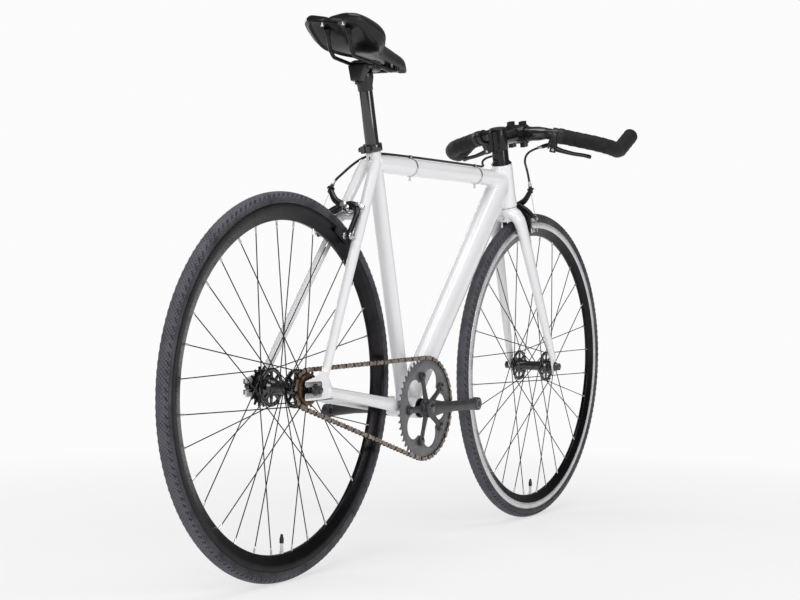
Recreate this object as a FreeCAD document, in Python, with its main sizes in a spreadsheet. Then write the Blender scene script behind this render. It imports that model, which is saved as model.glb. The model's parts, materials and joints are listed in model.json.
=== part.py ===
import FreeCAD, Part
import math
import os
from types import SimpleNamespace

import Sketcher

# Fixed gear bike, millimetres: x ahead, y to the rider's left, z up.
# The origin lies on the ground, midway between the two wheel axles.

SIZES = {
    # Wheels
    "wheelbase": 965.0,
    "rim_bead_radius": 311.0,
    "tyre_width": 25.0,
    "tyre_wall": 2.4,
    "tyre_gap": 0.3,
    "rim_hook": 6.0,
    "rim_depth": 30.0,
    "rim_width": 19.6,
    "rim_crest_width": 7.0,
    "rim_wall": 1.8,
    "rim_bed_drop": 3.0,
    "rim_bed_width": 10.0,
    "rim_track_height": 13.0,
    "spoke_radius": 1.0,
    "spoke_lift": 1.5,
    "nipple_radius": 2.0,
    "nipple_length": 11.0,
    "rim_hole_stagger": 1.6,
    "valve_radius": 3.0,
    "valve_length": 34.0,
    "valve_cap_radius": 4.0,
    "valve_cap_length": 14.0,
    # Hubs and axles
    "rear_flange_radius": 34.0,
    "rear_flange_offset": 25.0,
    "front_flange_radius": 33.0,
    "front_flange_offset": 33.0,
    "flange_thickness": 3.0,
    "flange_rim": 4.0,
    "flange_window_radius": 6.0,
    "flange_window_circle": 21.5,
    "rear_hub_radius": 12.0,
    "front_hub_radius": 10.0,
    "hub_thread_radius": 17.4,
    "hub_nose_radius": 12.0,
    "rear_hub_half": 52.0,
    "front_hub_half": 46.0,
    "rear_dropout_half": 60.0,
    "front_dropout_half": 50.0,
    "rear_axle_radius": 5.0,
    "front_axle_radius": 4.5,
    "rear_axle_half": 79.0,
    "front_axle_half": 66.0,
    "cone_radius": 9.0,
    "axle_nut_width": 15.0,
    "axle_nut_height": 9.0,
    "axle_washer_radius": 10.5,
    "axle_washer_thickness": 1.8,
    "end_gap": 0.3,
    "running_clearance": 0.08,
    # Drive
    "chain_pitch": 12.7,
    "roller_radius": 3.9,
    "roller_clearance": 0.25,
    "chainline": 46.0,
    "tooth_thickness": 2.6,
    "tooth_height": 3.4,
    "tooth_lean": 2.2,
    "chain_plate_height": 8.4,
    "chain_plate_thickness": 1.05,
    "chain_inner_width": 3.3,
    "chain_plate_gap": 0.08,
    "freewheel_core_radius": 22.0,
    "freewheel_face_radius": 27.0,
    "freewheel_outer": 54.5,
    "freewheel_inner": 39.5,
    "cog_collar_radius": 23.0,
    "cog_collar_depth": 9.0,
    "lockring_radius": 21.0,
    "lockring_thickness": 3.5,
    "crank_length": 170.0,
    "crank_face": 62.0,
    "crank_pedal_face": 72.0,
    "crank_eye_thickness": 12.0,
    "crank_eye_radius": 12.5,
    "crank_boss_radius": 16.0,
    "crank_boss_inner": 42.0,
    "crank_root_width": 29.0,
    "crank_tip_width": 21.0,
    "crank_thickness": 12.0,
    "crank_corner": 4.5,
    "pedal_hole_radius": 7.14,
    "crank_bolt_radius": 7.5,
    "crank_bolt_recess": 5.0,
    "spindle_radius": 8.5,
    "spindle_square": 12.0,
    "spindle_half": 56.0,
    "spider_thickness": 5.0,
    "spider_root_width": 15.0,
    "spider_tip_radius": 8.5,
    "ring_bolt_circle": 65.0,
    "ring_bolt_radius": 5.0,
    "ring_bolt_head_radius": 7.0,
    "ring_bolt_head_height": 2.0,
    "ring_bore_radius": 55.5,
    "ring_window_radius": 26.0,
    "ring_window_circle": 52.0,
    # Frame
    "bracket_drop": 58.0,
    "bracket_shell_radius": 20.0,
    "bracket_shell_bore": 17.0,
    "bracket_shell_half": 34.0,
    "bracket_lip_radius": 19.0,
    "bracket_lip_thickness": 3.0,
    "seat_angle": 75.0,
    "seat_tube_length": 506.0,
    "seat_tube_radius": 14.3,
    "seat_slot_width": 2.6,
    "seat_slot_length": 26.0,
    "seat_slot_hole": 2.4,
    "post_radius": 12.7,
    "post_wall": 1.8,
    "post_insert": 130.0,
    "post_rise": 123.0,
    "tube_wall": 1.4,
    "top_tube_radius": 17.0,
    "top_tube_below": 33.0,
    "top_tube_seat_lap": 4.0,
    "down_tube_depth": 60.0,
    "down_tube_width": 38.0,
    "down_tube_corner": 7.0,
    "down_tube_head_short": 13.0,
    "down_tube_foot": 12.0,
    "head_angle": 74.0,
    "head_length": 93.0,
    "head_radius": 22.5,
    "head_flare": 1.8,
    "head_flare_height": 26.0,
    "head_bore": 17.5,
    "bearing_radius": 20.8,
    "bearing_height": 8.0,
    "bearing_bore": 14.38,
    "fork_rake": 43.0,
    "fork_length": 371.0,
    "stay_top_below": 25.0,
    "stay_top_back": 15.0,
    "stay_top_side": 15.0,
    "stay_top_radius": 11.0,
    "stay_foot_radius": 8.0,
    "stay_foot_ahead": 35.0,
    "stay_foot_above": 26.0,
    "bridge_radius": 8.5,
    "bridge_reach": 368.0,
    "chainstay_side": 22.0,
    "chainstay_back": 18.0,
    "chainstay_root_tall": 13.5,
    "chainstay_root_wide": 8.0,
    "chainstay_foot_tall": 9.5,
    "chainstay_foot_wide": 7.5,
    "chainstay_foot_ahead": 42.0,
    "chainstay_foot_below": 6.0,
    "dropout_thickness": 5.0,
    "dropout_tail": 25.0,
    "dropout_height": 38.0,
    "dropout_nose": 57.0,
    "dropout_slot_front": 12.0,
    "slot_clearance": 0.1,
    "clamp_wall": 3.6,
    "clamp_height": 13.0,
    "clamp_overlap": 6.5,
    "clamp_ear": 9.0,
    "clamp_ear_width": 20.0,
    "clamp_slot": 3.0,
    "clamp_bolt_radius": 2.5,
    "clamp_bolt_head_radius": 4.5,
    "clamp_bolt_head": 5.0,
    "fit_clearance": 0.05,
    # Fork
    "steerer_radius": 14.3,
    "steerer_wall": 2.4,
    "steerer_sink": 26.0,
    "crown_gap": 0.5,
    "crown_joint": 30.0,
    "crown_depth": 34.0,
    "crown_top_radius": 23.0,
    "crown_thickness": 24.0,
    "crown_side": 42.0,
    "crown_leg": 22.0,
    "crown_leg_drop": 24.0,
    "crown_shoulder": 20.0,
    "tyre_clearance": 6.0,
    "blade_root_wide": 10.3,
    "blade_root_deep": 15.5,
    "blade_tip_wide": 7.0,
    "blade_tip_deep": 8.5,
    "blade_tip_above": 22.0,
    "fork_end_thickness": 5.0,
    "fork_end_radius": 11.0,
    "fork_end_tongue": 42.0,
    "fork_end_tongue_half": 6.0,
    # Stem
    "cover_height": 6.0,
    "spacer_radius": 17.2,
    "spacer_height": 24.0,
    "stem_height": 42.0,
    "stem_radius": 18.0,
    "stem_length": 88.5,
    "stem_drop": 6.0,
    "stem_neck_radius": 15.5,
    "stem_clamp_radius": 20.5,
    "stem_clamp_half": 22.0,
    "stem_split": 1.5,
    "stem_slot": 2.0,
    "stem_ear_depth": 18.0,
    "stem_ear_width": 10.0,
    "stem_ear_half_height": 27.5,
    "stem_back_depth": 8.0,
    "stem_back_width": 20.0,
    "stem_bolt_radius": 2.3,
    "stem_bolt_head_radius": 3.6,
    "stem_bolt_head_height": 3.0,
    "stem_bolt_spread": 14.0,
    "stem_bolt_rise": 23.2,
    "stem_cap_height": 4.0,
    # Handlebar
    "bar_centre_radius": 15.9,
    "bar_radius": 11.9,
    "bar_wall": 2.0,
    "bar_bulge_half": 30.0,
    "bar_taper_half": 56.0,
    "bar_flat_half": 70.0,
    "bar_half_width": 195.0,
    "bar_sweep_ahead": 40.0,
    "bar_sweep_drop": 27.0,
    "bar_horn_ahead": 95.0,
    "bar_horn_drop": 33.0,
    "bar_tip_ahead": 159.0,
    "bar_tip_rise": 4.0,
    "bar_shoulder_bend": 60.0,
    "bar_elbow_bend": 55.0,
    "bar_tip_bend": 34.0,
    "tape_thickness": 3.0,
    "tape_start": 26.0,
    "plug_radius": 14.0,
    "plug_height": 4.0,
    # Brake levers
    "lever_clamp_along": 18.5,
    "lever_clamp_width": 12.0,
    "lever_clamp_wall": 3.5,
    "lever_offset": 31.0,
    "lever_lean": 62.0,
    "lever_thickness": 9.0,
    "lever_length": 84.0,
    "lever_deep": 9.0,
    "lever_boss": 6.5,
    "lever_pin_radius": 2.2,
    "lever_cheek": 3.0,
    "lever_gap": 0.4,
    # Brakes
    "front_brake_reach": 358.0,
    "front_brake_face": 27.0,
    "rear_brake_face": 13.0,
    "brake_bolt_radius": 3.0,
    "brake_bolt_clearance": 0.09,
    "brake_nut_radius": 5.0,
    "brake_nut_height": 6.0,
    "brake_nut_seat": 0.5,
    "brake_plate_thickness": 3.0,
    "brake_arm_thickness": 7.0,
    "brake_layer_gap": 0.4,
    "brake_side_pivot": 24.0,
    "brake_side_pivot_up": 7.0,
    "brake_boss_radius": 6.5,
    "brake_head_height": 4.0,
    "brake_arm_span": 50.0,
    "brake_leg_inner": 26.0,
    "brake_leg_width": 12.0,
    "brake_leg_below": 5.0,
    "brake_barrel_out": 45.0,
    "brake_barrel_up": 32.0,
    "brake_pinch_down": 24.0,
    "brake_pinch_radius": 4.5,
    "barrel_radius": 4.5,
    "barrel_length": 16.0,
    "barrel_bore": 2.4,
    "wire_radius": 0.7,
    "wire_tail": 32.0,
    "pad_gap": 1.8,
    "pad_thickness": 8.0,
    "pad_height": 10.0,
    "pad_length": 46.0,
    "pad_below_bead": 3.0,
    "pad_stud_radius": 3.0,
    # Cables
    "housing_radius": 2.4,
    "clip_wall": 0.8,
    "clip_width": 5.0,
    "clip_screw_radius": 2.2,
    "clip_screw_length": 9.0,
    # Saddle
    "saddle_length": 278.0,
    "saddle_half_width": 70.0,
    "saddle_tilt": 5.6,
    "saddle_back": 139.0,
    "saddle_above": 41.5,
    "saddle_crown": 52.0,
    "saddle_base_gap": 0.3,
    "saddle_base_thickness": 3.5,
    "rail_radius": 3.5,
    "rail_side": 22.0,
    "rail_height": 28.0,
    "rail_back": 72.0,
    "rail_ahead": 52.0,
    "rail_tail_back": 84.0,
    "rail_nose_ahead": 92.0,
    "rail_nose_side": 10.0,
    "rail_bend": 16.0,
    "cradle_length": 38.0,
    "cradle_half_width": 28.0,
    "cradle_height": 8.0,
    "cradle_cap_height": 6.0,
    "cradle_bolt_radius": 4.0,
    "cradle_gap": 1.0,
    "overrun": 2.0,
}

COUNTS = {
    "ring_teeth": 48,
    "sprocket_teeth": 16,
    "chain_links": 98,
    "spokes": 32,
    "spoke_crossings": 3,
    "ring_bolts": 5,
    "flange_windows": 6,
}

doc = FreeCAD.newDocument("fixed_gear_bike")
sheet = doc.addObject("Spreadsheet::Sheet", "Sizes")
V = FreeCAD.Vector


class Size(float):
    """A number that remembers its spreadsheet expression, through sums and shares."""

    def __new__(cls, value, text=None):
        size = super().__new__(cls, value)
        size.text = text or repr(float(value))
        return size

    def __add__(self, other):
        return Size(float(self) + float(other), f"({self.text} + {text_of(other)})")

    def __radd__(self, other):
        return Size(float(other) + float(self), f"({text_of(other)} + {self.text})")

    def __sub__(self, other):
        return Size(float(self) - float(other), f"({self.text} - {text_of(other)})")

    def __rsub__(self, other):
        return Size(float(other) - float(self), f"({text_of(other)} - {self.text})")

    def __mul__(self, other):
        return Size(float(self) * float(other), f"({self.text} * {text_of(other)})")

    __rmul__ = __mul__

    def __truediv__(self, other):
        return Size(float(self) / float(other), f"({self.text} / {text_of(other)})")

    def __neg__(self):
        return Size(-float(self), f"(-{self.text})")


def text_of(value):
    return value.text if isinstance(value, Size) else repr(float(value))


for row, (alias, value) in enumerate({**SIZES, **COUNTS}.items(), start=1):
    sheet.set(f"A{row}", alias)
    sheet.set(f"B{row}", str(value))
    sheet.setAlias(f"B{row}", alias)
doc.recompute()
d = SimpleNamespace(**{alias: Size(value, f"Sizes.{alias}") for alias, value in SIZES.items()})
n = SimpleNamespace(**COUNTS)
zero = Size(0)
nodes = []


# Directions and places

def polar(radius, degrees):
    return radius * math.cos(math.radians(degrees)), radius * math.sin(math.radians(degrees))


def slope_up(degrees):
    return V(-math.cos(math.radians(degrees)), 0, math.sin(math.radians(degrees)))


def slope_ahead(degrees):
    return V(math.sin(math.radians(degrees)), 0, math.cos(math.radians(degrees)))


def place(origin, z_axis, x_axis=None):
    """A placement whose local z and, if given, x run along the given directions."""
    if x_axis is None:
        return FreeCAD.Placement(origin, FreeCAD.Rotation(V(0, 0, 1), z_axis))
    y_axis = z_axis.cross(x_axis)
    return FreeCAD.Placement(origin, FreeCAD.Rotation(x_axis, y_axis, z_axis, "ZXY"))


AHEAD = V(1, 0, 0)
LEFT = V(0, 1, 0)
UP = V(0, 0, 1)


def chain_pitches(distance):
    """How many links go round both sprockets at a given axle distance."""
    lean = math.asin((ring_pitch_radius - sprocket_pitch_radius) / distance)
    run = distance * math.cos(lean) / d.chain_pitch
    wrapped = (n.ring_teeth + n.sprocket_teeth) / 2 + (n.ring_teeth - n.sprocket_teeth) * lean / math.pi
    return 2 * run + wrapped


def pitch_radius(teeth):
    return d.chain_pitch / (2 * math.sin(math.pi / teeth))


ring_pitch_radius = pitch_radius(n.ring_teeth)
sprocket_pitch_radius = pitch_radius(n.sprocket_teeth)


def axle_distance():
    """The distance from crank axis to rear axle at which the closed chain is just taut."""
    low = float(ring_pitch_radius + sprocket_pitch_radius)
    high = float(d.chain_pitch * n.chain_links)
    while high - low > 1e-9 * high:
        middle = (low + high) / 2
        if chain_pitches(middle) < n.chain_links:
            low = middle
        else:
            high = middle
    return low


tyre_radius = d.rim_bead_radius + d.tyre_width
rear_axle = V(-d.wheelbase / 2, 0, tyre_radius)
front_axle = V(d.wheelbase / 2, 0, tyre_radius)
drive_length = axle_distance()
bracket = rear_axle + V(math.sqrt(drive_length**2 - d.bracket_drop**2), 0, -d.bracket_drop)
seat_up = slope_up(d.seat_angle)
seat_back = slope_ahead(d.seat_angle) * -1
head_up = slope_up(d.head_angle)
head_ahead = slope_ahead(d.head_angle)
steer_foot = front_axle - head_ahead * d.fork_rake


def on_seat(along):
    return bracket + seat_up * along


def on_head(along):
    return steer_foot + head_up * along


head_foot = on_head(d.fork_length)
head_top = on_head(d.fork_length + d.head_length)
head_joint = head_top - head_up * d.top_tube_below
top_tube_height = head_joint.z
seat_joint = on_seat((top_tube_height - bracket.z) / seat_up.z)


# Building blocks

def keep(obj, label):
    """Name a finished sub-part after its file and list it for writing."""
    obj.Label = label
    nodes.append(obj)
    return obj


def make(kind, name, placement=None, **sizes):
    obj = doc.addObject(kind, name)
    for prop, size in sizes.items():
        setattr(obj, prop, float(size))
        if isinstance(size, Size):
            obj.setExpression(prop, size.text)
    if placement is not None:
        obj.Placement = placement
    return obj


def rod(name, start, direction, radius, height):
    return make("Part::Cylinder", name, place(start, direction), Radius=radius, Height=height)


def taper(name, start, direction, radius1, radius2, height):
    return make("Part::Cone", name, place(start, direction), Radius1=radius1, Radius2=radius2, Height=height)


def block(name, placement, length, width, height):
    """A box centred on the placement's own z axis, standing on its xy plane."""
    shift = FreeCAD.Placement(V(-length / 2, -width / 2, 0), FreeCAD.Rotation())
    return make("Part::Box", name, placement * shift, Length=length, Width=width, Height=height)


def cut(base, *tools):
    for tool in tools:
        result = doc.addObject("Part::Cut", base.Name + "_cut")
        result.Base = base
        result.Tool = tool
        base = result
    return base


def fuse(base, *others):
    for other in others:
        result = doc.addObject("Part::Fuse", base.Name + "_fused")
        result.Base = base
        result.Tool = other
        base = result
    return base


def mirrored(obj):
    twin = doc.addObject("Part::Mirroring", obj.Name + "_mirrored")
    twin.Source = obj
    twin.Normal = LEFT
    return twin


def group(name, *members):
    compound = doc.addObject("Part::Compound", name)
    compound.Links = list(members)
    return compound


def shape_feature(name, shape):
    obj = doc.addObject("Part::Feature", name)
    obj.Shape = shape
    return obj


def tube(name, start, end, radius, wall):
    """A straight round tube: its outer rod and the tube itself."""
    run = end - start
    height = Size(run.Length)
    outer = rod(name + "_outer", start, run, radius, height)
    inner = rod(name + "_bore", start, run, radius - wall, height)
    return outer, cut(outer, inner)


def oval_loft(name, start, end, square_to, across, major1, minor1, major2, minor2):
    """A tapered oval bar: its ends are square to one direction, its major axis lies along another."""
    first = make(
        "Part::Ellipse", name + "_root", place(start, square_to, across), MajorRadius=major1, MinorRadius=minor1,
    )
    second = make(
        "Part::Ellipse", name + "_tip", place(end, square_to, across), MajorRadius=major2, MinorRadius=minor2,
    )
    loft = doc.addObject("Part::Loft", name)
    loft.Sections = [first, second]
    loft.Solid = True
    loft.Ruled = True
    return loft


def sketch_on(body, role, name, offset=None):
    sketch = body.newObject("Sketcher::SketchObject", name)
    plane = next(f for f in body.Origin.OriginFeatures if f.Role == role)
    sketch.AttachmentSupport = [(plane, "")]
    sketch.MapMode = "FlatFace"
    if offset is not None:
        sketch.AttachmentOffset = FreeCAD.Placement(V(0, 0, offset), FreeCAD.Rotation())
        sketch.setExpression("AttachmentOffset.Base.z", offset.text)
    return sketch


def fix(sketch, kind, geometry, point, value):
    """Hold a point at a signed distance from the sketch's origin along one axis."""
    size = value if isinstance(value, Size) else Size(value)
    if size == 0:
        axis = -2 if kind == "DistanceX" else -1
        sketch.addConstraint(Sketcher.Constraint("PointOnObject", geometry, point, axis))
        return
    if size > 0:
        index = sketch.addConstraint(Sketcher.Constraint(kind, -1, 1, geometry, point, float(size)))
    else:
        size = -size
        index = sketch.addConstraint(Sketcher.Constraint(kind, geometry, point, -1, 1, float(size)))
    sketch.setExpression(f"Constraints[{index}]", size.text)


def draw_outline(sketch, corners):
    """A closed outline of straight edges, every corner held by its sizes."""
    first = sketch.GeometryCount
    count = len(corners)
    points = [V(x, y, 0) for x, y in corners]
    for i in range(count):
        sketch.addGeometry(Part.LineSegment(points[i], points[(i + 1) % count]), False)
    for i, (x, y) in enumerate(corners):
        here, before = first + i, first + (i - 1) % count
        sketch.addConstraint(Sketcher.Constraint("Coincident", before, 2, here, 1))
        fix(sketch, "DistanceX", here, 1, x)
        fix(sketch, "DistanceY", here, 1, y)


def arc_corners(x, y, radius, start, end, steps):
    """Corners spread evenly along an arc, from one angle in degrees to another."""
    corners = []
    for i in range(steps + 1):
        across, along = polar(radius, start + (end - start) * i / steps)
        corners.append((x + across, y + along))
    return corners


def draw_circle(sketch, x, y, radius):
    index = sketch.addGeometry(Part.Circle(V(x, y, 0), V(0, 0, 1), float(radius)), False)
    fix(sketch, "DistanceX", index, 3, x)
    fix(sketch, "DistanceY", index, 3, y)
    constraint = sketch.addConstraint(Sketcher.Constraint("Radius", index, float(radius)))
    sketch.setExpression(f"Constraints[{constraint}]", radius.text)


def new_body(name, placement):
    body = doc.addObject("PartDesign::Body", name)
    body.Placement = placement
    return body


def turned(name, placement, *profiles):
    """A revolved body: profiles are (radius, height) corners about the placement's z axis."""
    body = new_body(name, placement)
    sketch = sketch_on(body, "XZ_Plane", name + "_profile")
    for corners in profiles:
        draw_outline(sketch, corners)
    feature = body.newObject("PartDesign::Revolution", name + "_turned")
    feature.Profile = sketch
    feature.ReferenceAxis = (sketch, ["V_Axis"])
    feature.Angle = 360.0
    return body


def pad(body, sketch, length, midplane=False, reverse=False):
    feature = body.newObject("PartDesign::Pad", sketch.Name + "_pad")
    feature.Profile = sketch
    feature.Length = float(length)
    feature.setExpression("Length", length.text)
    feature.Midplane = midplane
    feature.Reversed = reverse
    return feature


def padded(name, placement, corners, thickness, midplane=True):
    """A flat piece cut to an outline, thick along the placement's z axis."""
    body = new_body(name, placement)
    sketch = sketch_on(body, "XY_Plane", name + "_outline")
    draw_outline(sketch, corners)
    pad(body, sketch, thickness, midplane)
    return body


def polar_pattern(body, feature, sketch, count):
    pattern = body.newObject("PartDesign::PolarPattern", feature.Name + "_pattern")
    pattern.Originals = [feature]
    pattern.Axis = (sketch, ["N_Axis"])
    pattern.Angle = 360.0
    pattern.Occurrences = count
    body.Tip = pattern
    return pattern


def pocket_through(body, sketch):
    feature = body.newObject("PartDesign::Pocket", sketch.Name + "_pocket")
    feature.Profile = sketch
    feature.Type = 1
    feature.Midplane = True
    return feature


def rounded_path(points, radii):
    """Straight runs joined by tangent arcs; one radius for each inner point."""
    edges = []
    start = points[0]
    for before, corner, after, radius in zip(points, points[1:], points[2:], radii):
        arrive = (corner - before).normalize()
        leave = (after - corner).normalize()
        turn = arrive.getAngle(leave)
        setback = radius * math.tan(turn / 2)
        arc_start = corner - arrive * setback
        arc_end = corner + leave * setback
        inward = (leave - arrive).normalize()
        middle = corner + inward * (radius / math.cos(turn / 2) - radius)
        edges.append(Part.LineSegment(start, arc_start).toShape())
        edges.append(Part.Arc(arc_start, middle, arc_end).toShape())
        start = arc_end
    edges.append(Part.LineSegment(start, points[-1]).toShape())
    return Part.Wire(edges)


def cord_radii(points):
    """The largest arc that each corner's two runs allow."""
    share = 0.45
    radii = []
    for before, corner, after in zip(points, points[1:], points[2:]):
        turn = (corner - before).getAngle(after - corner)
        shorter = min((corner - before).Length, (after - corner).Length)
        radii.append(share * shorter / math.tan(turn / 2))
    return radii


def pipe(path, radius):
    """A round bar along a path, with its volume held against section times length."""
    start = path.Edges[0]
    circle = Part.Circle(start.valueAt(start.FirstParameter), start.tangentAt(start.FirstParameter), radius)
    solid = path.makePipeShell([Part.Wire(circle.toShape())], True, False)
    expected = math.pi * radius**2 * path.Length
    slack_share = 0.01
    if abs(solid.Volume - expected) > slack_share * expected:
        raise ValueError("a pipe came out with the wrong volume")
    return solid


def hexagon_nut(name, start, direction, width, height):
    nut = make("Part::Prism", name, place(start, direction), Circumradius=width / math.sqrt(3), Height=height)
    nut.Polygon = 6
    return nut


def prism(name, start, direction, radius, height):
    """A round bolt or button with few flats."""
    sides = 8
    body = make("Part::Prism", name, place(start, direction), Circumradius=radius, Height=height)
    body.Polygon = sides
    return body


# Frame tubes

def build_frame():
    head = d.head_radius
    bore = d.head_bore
    seat = d.bearing_radius + d.fit_clearance
    deep = d.bearing_height
    length = d.head_length
    keep(
        turned(
            "head_tube",
            place(head_foot, head_up),
            [
                (seat, zero),
                (head + d.head_flare, zero),
                (head, d.head_flare_height),
                (head, length),
                (seat, length),
                (seat, length - deep),
                (bore, length - deep),
                (bore, deep),
                (seat, deep),
            ],
        ),
        "head_tube",
    )
    head_rod = rod("head_rod", head_foot, head_up, head, length)
    head_skirt = taper("head_skirt", head_foot, head_up, head + d.head_flare, head, d.head_flare_height)
    shell_start = bracket - LEFT * d.bracket_shell_half
    shell_rod = rod("shell_rod", shell_start, LEFT, d.bracket_shell_radius, d.bracket_shell_half * 2)
    shell_bore = rod("shell_bore", shell_start, LEFT, d.bracket_shell_bore, d.bracket_shell_half * 2)
    keep(cut(shell_rod, shell_bore), "bottom_bracket_shell")

    seat_rod = rod("seat_rod", bracket, seat_up, d.seat_tube_radius, d.seat_tube_length)
    seat_bore = rod("seat_bore", bracket, seat_up, d.post_radius + d.running_clearance, d.seat_tube_length)
    slot_foot = on_seat(d.seat_tube_length - d.seat_slot_length)
    slot_deep = d.seat_tube_radius * 2
    slot_box = block(
        "seat_slot",
        place(slot_foot + seat_back * d.seat_tube_radius, seat_up, seat_back),
        slot_deep,
        d.seat_slot_width,
        d.seat_slot_length + d.overrun,
    )
    slot_hole = rod("seat_slot_end", slot_foot, seat_back, d.seat_slot_hole, slot_deep)
    keep(cut(seat_rod, seat_bore, shell_rod, slot_box, slot_hole), "seat_tube")

    top_start = seat_joint + AHEAD * d.top_tube_seat_lap
    top_rod, top_shell = tube("top_tube", top_start, head_joint, d.top_tube_radius, d.tube_wall)
    keep(cut(top_shell, seat_rod, head_rod), "top_tube")

    build_down_tube(head_rod, head_skirt, top_rod, seat_rod, shell_rod)
    plates = build_dropouts()
    build_chainstays(seat_rod, shell_rod, plates)
    build_seatstays(seat_rod, plates)
    return top_rod


def down_tube_section(depth, width):
    """A flat-sided aero section: blunt behind, drawn in to a narrow nose ahead."""
    back_share, flat_share, nose_share, blunt_share = 0.30, 0.16, 0.22, 0.30
    return [
        (-depth / 2, -width * blunt_share),
        (-depth * back_share, -width / 2),
        (depth * flat_share, -width / 2),
        (depth / 2, -width * nose_share),
        (depth / 2, width * nose_share),
        (depth * flat_share, width / 2),
        (-depth * back_share, width / 2),
        (-depth / 2, width * blunt_share),
    ]


def build_down_tube(*neighbours):
    run = head_joint - bracket
    along = V(run).normalize()
    fore = LEFT.cross(along)
    start = bracket + along * d.down_tube_foot
    length = Size(run.Length) - d.down_tube_foot - d.down_tube_head_short
    spot = place(start, along, fore)
    outer = padded(
        "down_tube_outer", spot, down_tube_section(d.down_tube_depth, d.down_tube_width), length, False,
    )
    inner_depth = d.down_tube_depth - d.tube_wall * 2
    inner_width = d.down_tube_width - d.tube_wall * 2
    inner = padded("down_tube_inner", spot, down_tube_section(inner_depth, inner_width), length, False)
    doc.recompute()
    for body, radius in ((outer, d.down_tube_corner), (inner, d.down_tube_corner - d.tube_wall)):
        base = body.Tip
        edges = [
            f"Edge{i}"
            for i, edge in enumerate(base.Shape.Edges, start=1)
            if abs(edge.tangentAt(edge.FirstParameter).z) > 0.99
        ]
        fillet = body.newObject("PartDesign::Fillet", body.Name + "_rounded")
        fillet.Base = (base, edges)
        fillet.Radius = float(radius)
        fillet.setExpression("Radius", radius.text)
    keep(cut(outer, inner, *neighbours), "down_tube")


def build_dropouts():
    half_slot = d.rear_axle_radius + d.slot_clearance
    tail, tall, nose = d.dropout_tail, d.dropout_height, d.dropout_nose
    top_share, belly_share, stay_share, throat_share, heel_share = 0.42, 0.5, 0.42, 0.18, 0.62
    front = d.dropout_slot_front
    corners = [
        (-tail, half_slot),
        (front, half_slot),
        (front, -half_slot),
        (-tail, -half_slot),
        (-tail, -tall * belly_share),
        (nose * heel_share, -tall * belly_share),
        (nose, -tall * stay_share),
        (nose, zero),
        (nose * heel_share, tall),
        (nose * throat_share, tall * heel_share),
        (-tail, tall * top_share),
    ]
    middle = d.rear_dropout_half + d.dropout_thickness / 2
    right = padded(
        "right_dropout", place(rear_axle - LEFT * middle, LEFT * -1, AHEAD), corners, d.dropout_thickness,
    )
    left = mirrored(right)
    keep(group("rear_dropouts", right, left), "rear_dropouts")
    return right, left


def build_chainstays(seat_rod, shell_rod, plates):
    side = d.rear_dropout_half + d.dropout_thickness / 2
    root = bracket + V(-d.chainstay_back, -d.chainstay_side, 0)
    foot = rear_axle + V(d.chainstay_foot_ahead, -side, -d.chainstay_foot_below)
    run = foot - root
    across = (UP - run * (run.z / run.Length**2)).normalize()
    outer = oval_loft(
        "chainstay_outer", root, foot, run, across,
        d.chainstay_root_tall, d.chainstay_root_wide, d.chainstay_foot_tall, d.chainstay_foot_wide,
    )
    wall = d.tube_wall
    inner = oval_loft(
        "chainstay_inner", root, foot, run, across,
        d.chainstay_root_tall - wall, d.chainstay_root_wide - wall,
        d.chainstay_foot_tall - wall, d.chainstay_foot_wide - wall,
    )
    right = cut(outer, inner, shell_rod, seat_rod, plates[0])
    keep(group("chainstays", right, mirrored(right)), "chainstays")


def bridge_centre():
    """Where the rear brake bolt crosses the line of the seat stays."""
    top, foot = stay_ends()
    low, high = 0.0, 1.0
    for _ in range(60):
        middle = (low + high) / 2
        spot = top + (foot - top) * middle
        if math.hypot(spot.x - rear_axle.x, spot.z - rear_axle.z) > d.bridge_reach:
            low = middle
        else:
            high = middle
    return top + (foot - top) * low


def stay_ends():
    side = d.rear_dropout_half + d.dropout_thickness / 2
    top = on_seat(d.seat_tube_length - d.stay_top_below) + seat_back * d.stay_top_back - LEFT * d.stay_top_side
    foot = rear_axle + V(d.stay_foot_ahead, -side, d.stay_foot_above)
    return top, foot


def build_seatstays(seat_rod, plates):
    top, foot = stay_ends()
    run = foot - top
    length = Size(run.Length)
    wall = d.tube_wall
    outer = taper("stay_outer", top, run, d.stay_top_radius, d.stay_foot_radius, length)
    inner = taper("stay_inner", top, run, d.stay_top_radius - wall, d.stay_foot_radius - wall, length)
    right = cut(outer, inner, seat_rod, plates[0])
    spot = bridge_centre()
    reach = Size(abs(spot.y))
    middle = V(spot.x, 0, spot.z)
    bar = rod("bridge_bar", middle - LEFT * reach, LEFT, d.bridge_radius, reach * 2)
    away = rear_brake_axes()[2]
    hole = rod(
        "bridge_hole", middle - away * d.bridge_radius * 2, away,
        d.brake_bolt_radius + d.fit_clearance, d.bridge_radius * 4,
    )
    bridge = cut(bar, outer, mirrored(outer), hole)
    keep(group("seatstays", right, mirrored(right), bridge), "seatstays")


# Headset, bottom bracket, seat clamp

def build_bearings():
    bottom = ring("lower_bearing", head_foot, head_up, d.bearing_radius, d.bearing_bore, d.bearing_height)
    start = head_top - head_up * d.bearing_height
    top = ring("upper_bearing", start, head_up, d.bearing_radius, d.bearing_bore, d.bearing_height)
    keep(group("headset_bearings", bottom, top), "headset_bearings")


def ring(name, start, direction, outer, inner, height):
    body = rod(name + "_body", start, direction, outer, height)
    return cut(body, rod(name + "_hole", start, direction, inner, height))


def build_bracket_cartridge():
    half = d.bracket_shell_half
    lip = half + d.bracket_lip_thickness
    bore = d.spindle_radius + d.running_clearance
    body = d.bracket_shell_bore - d.fit_clearance
    keep(
        turned(
            "bottom_bracket_cartridge",
            place(bracket, LEFT),
            [
                (bore, -lip),
                (d.bracket_lip_radius, -lip),
                (d.bracket_lip_radius, -half),
                (body, -half),
                (body, half),
                (d.bracket_lip_radius, half),
                (d.bracket_lip_radius, lip),
                (bore, lip),
            ],
        ),
        "bottom_bracket_cartridge",
    )


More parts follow.
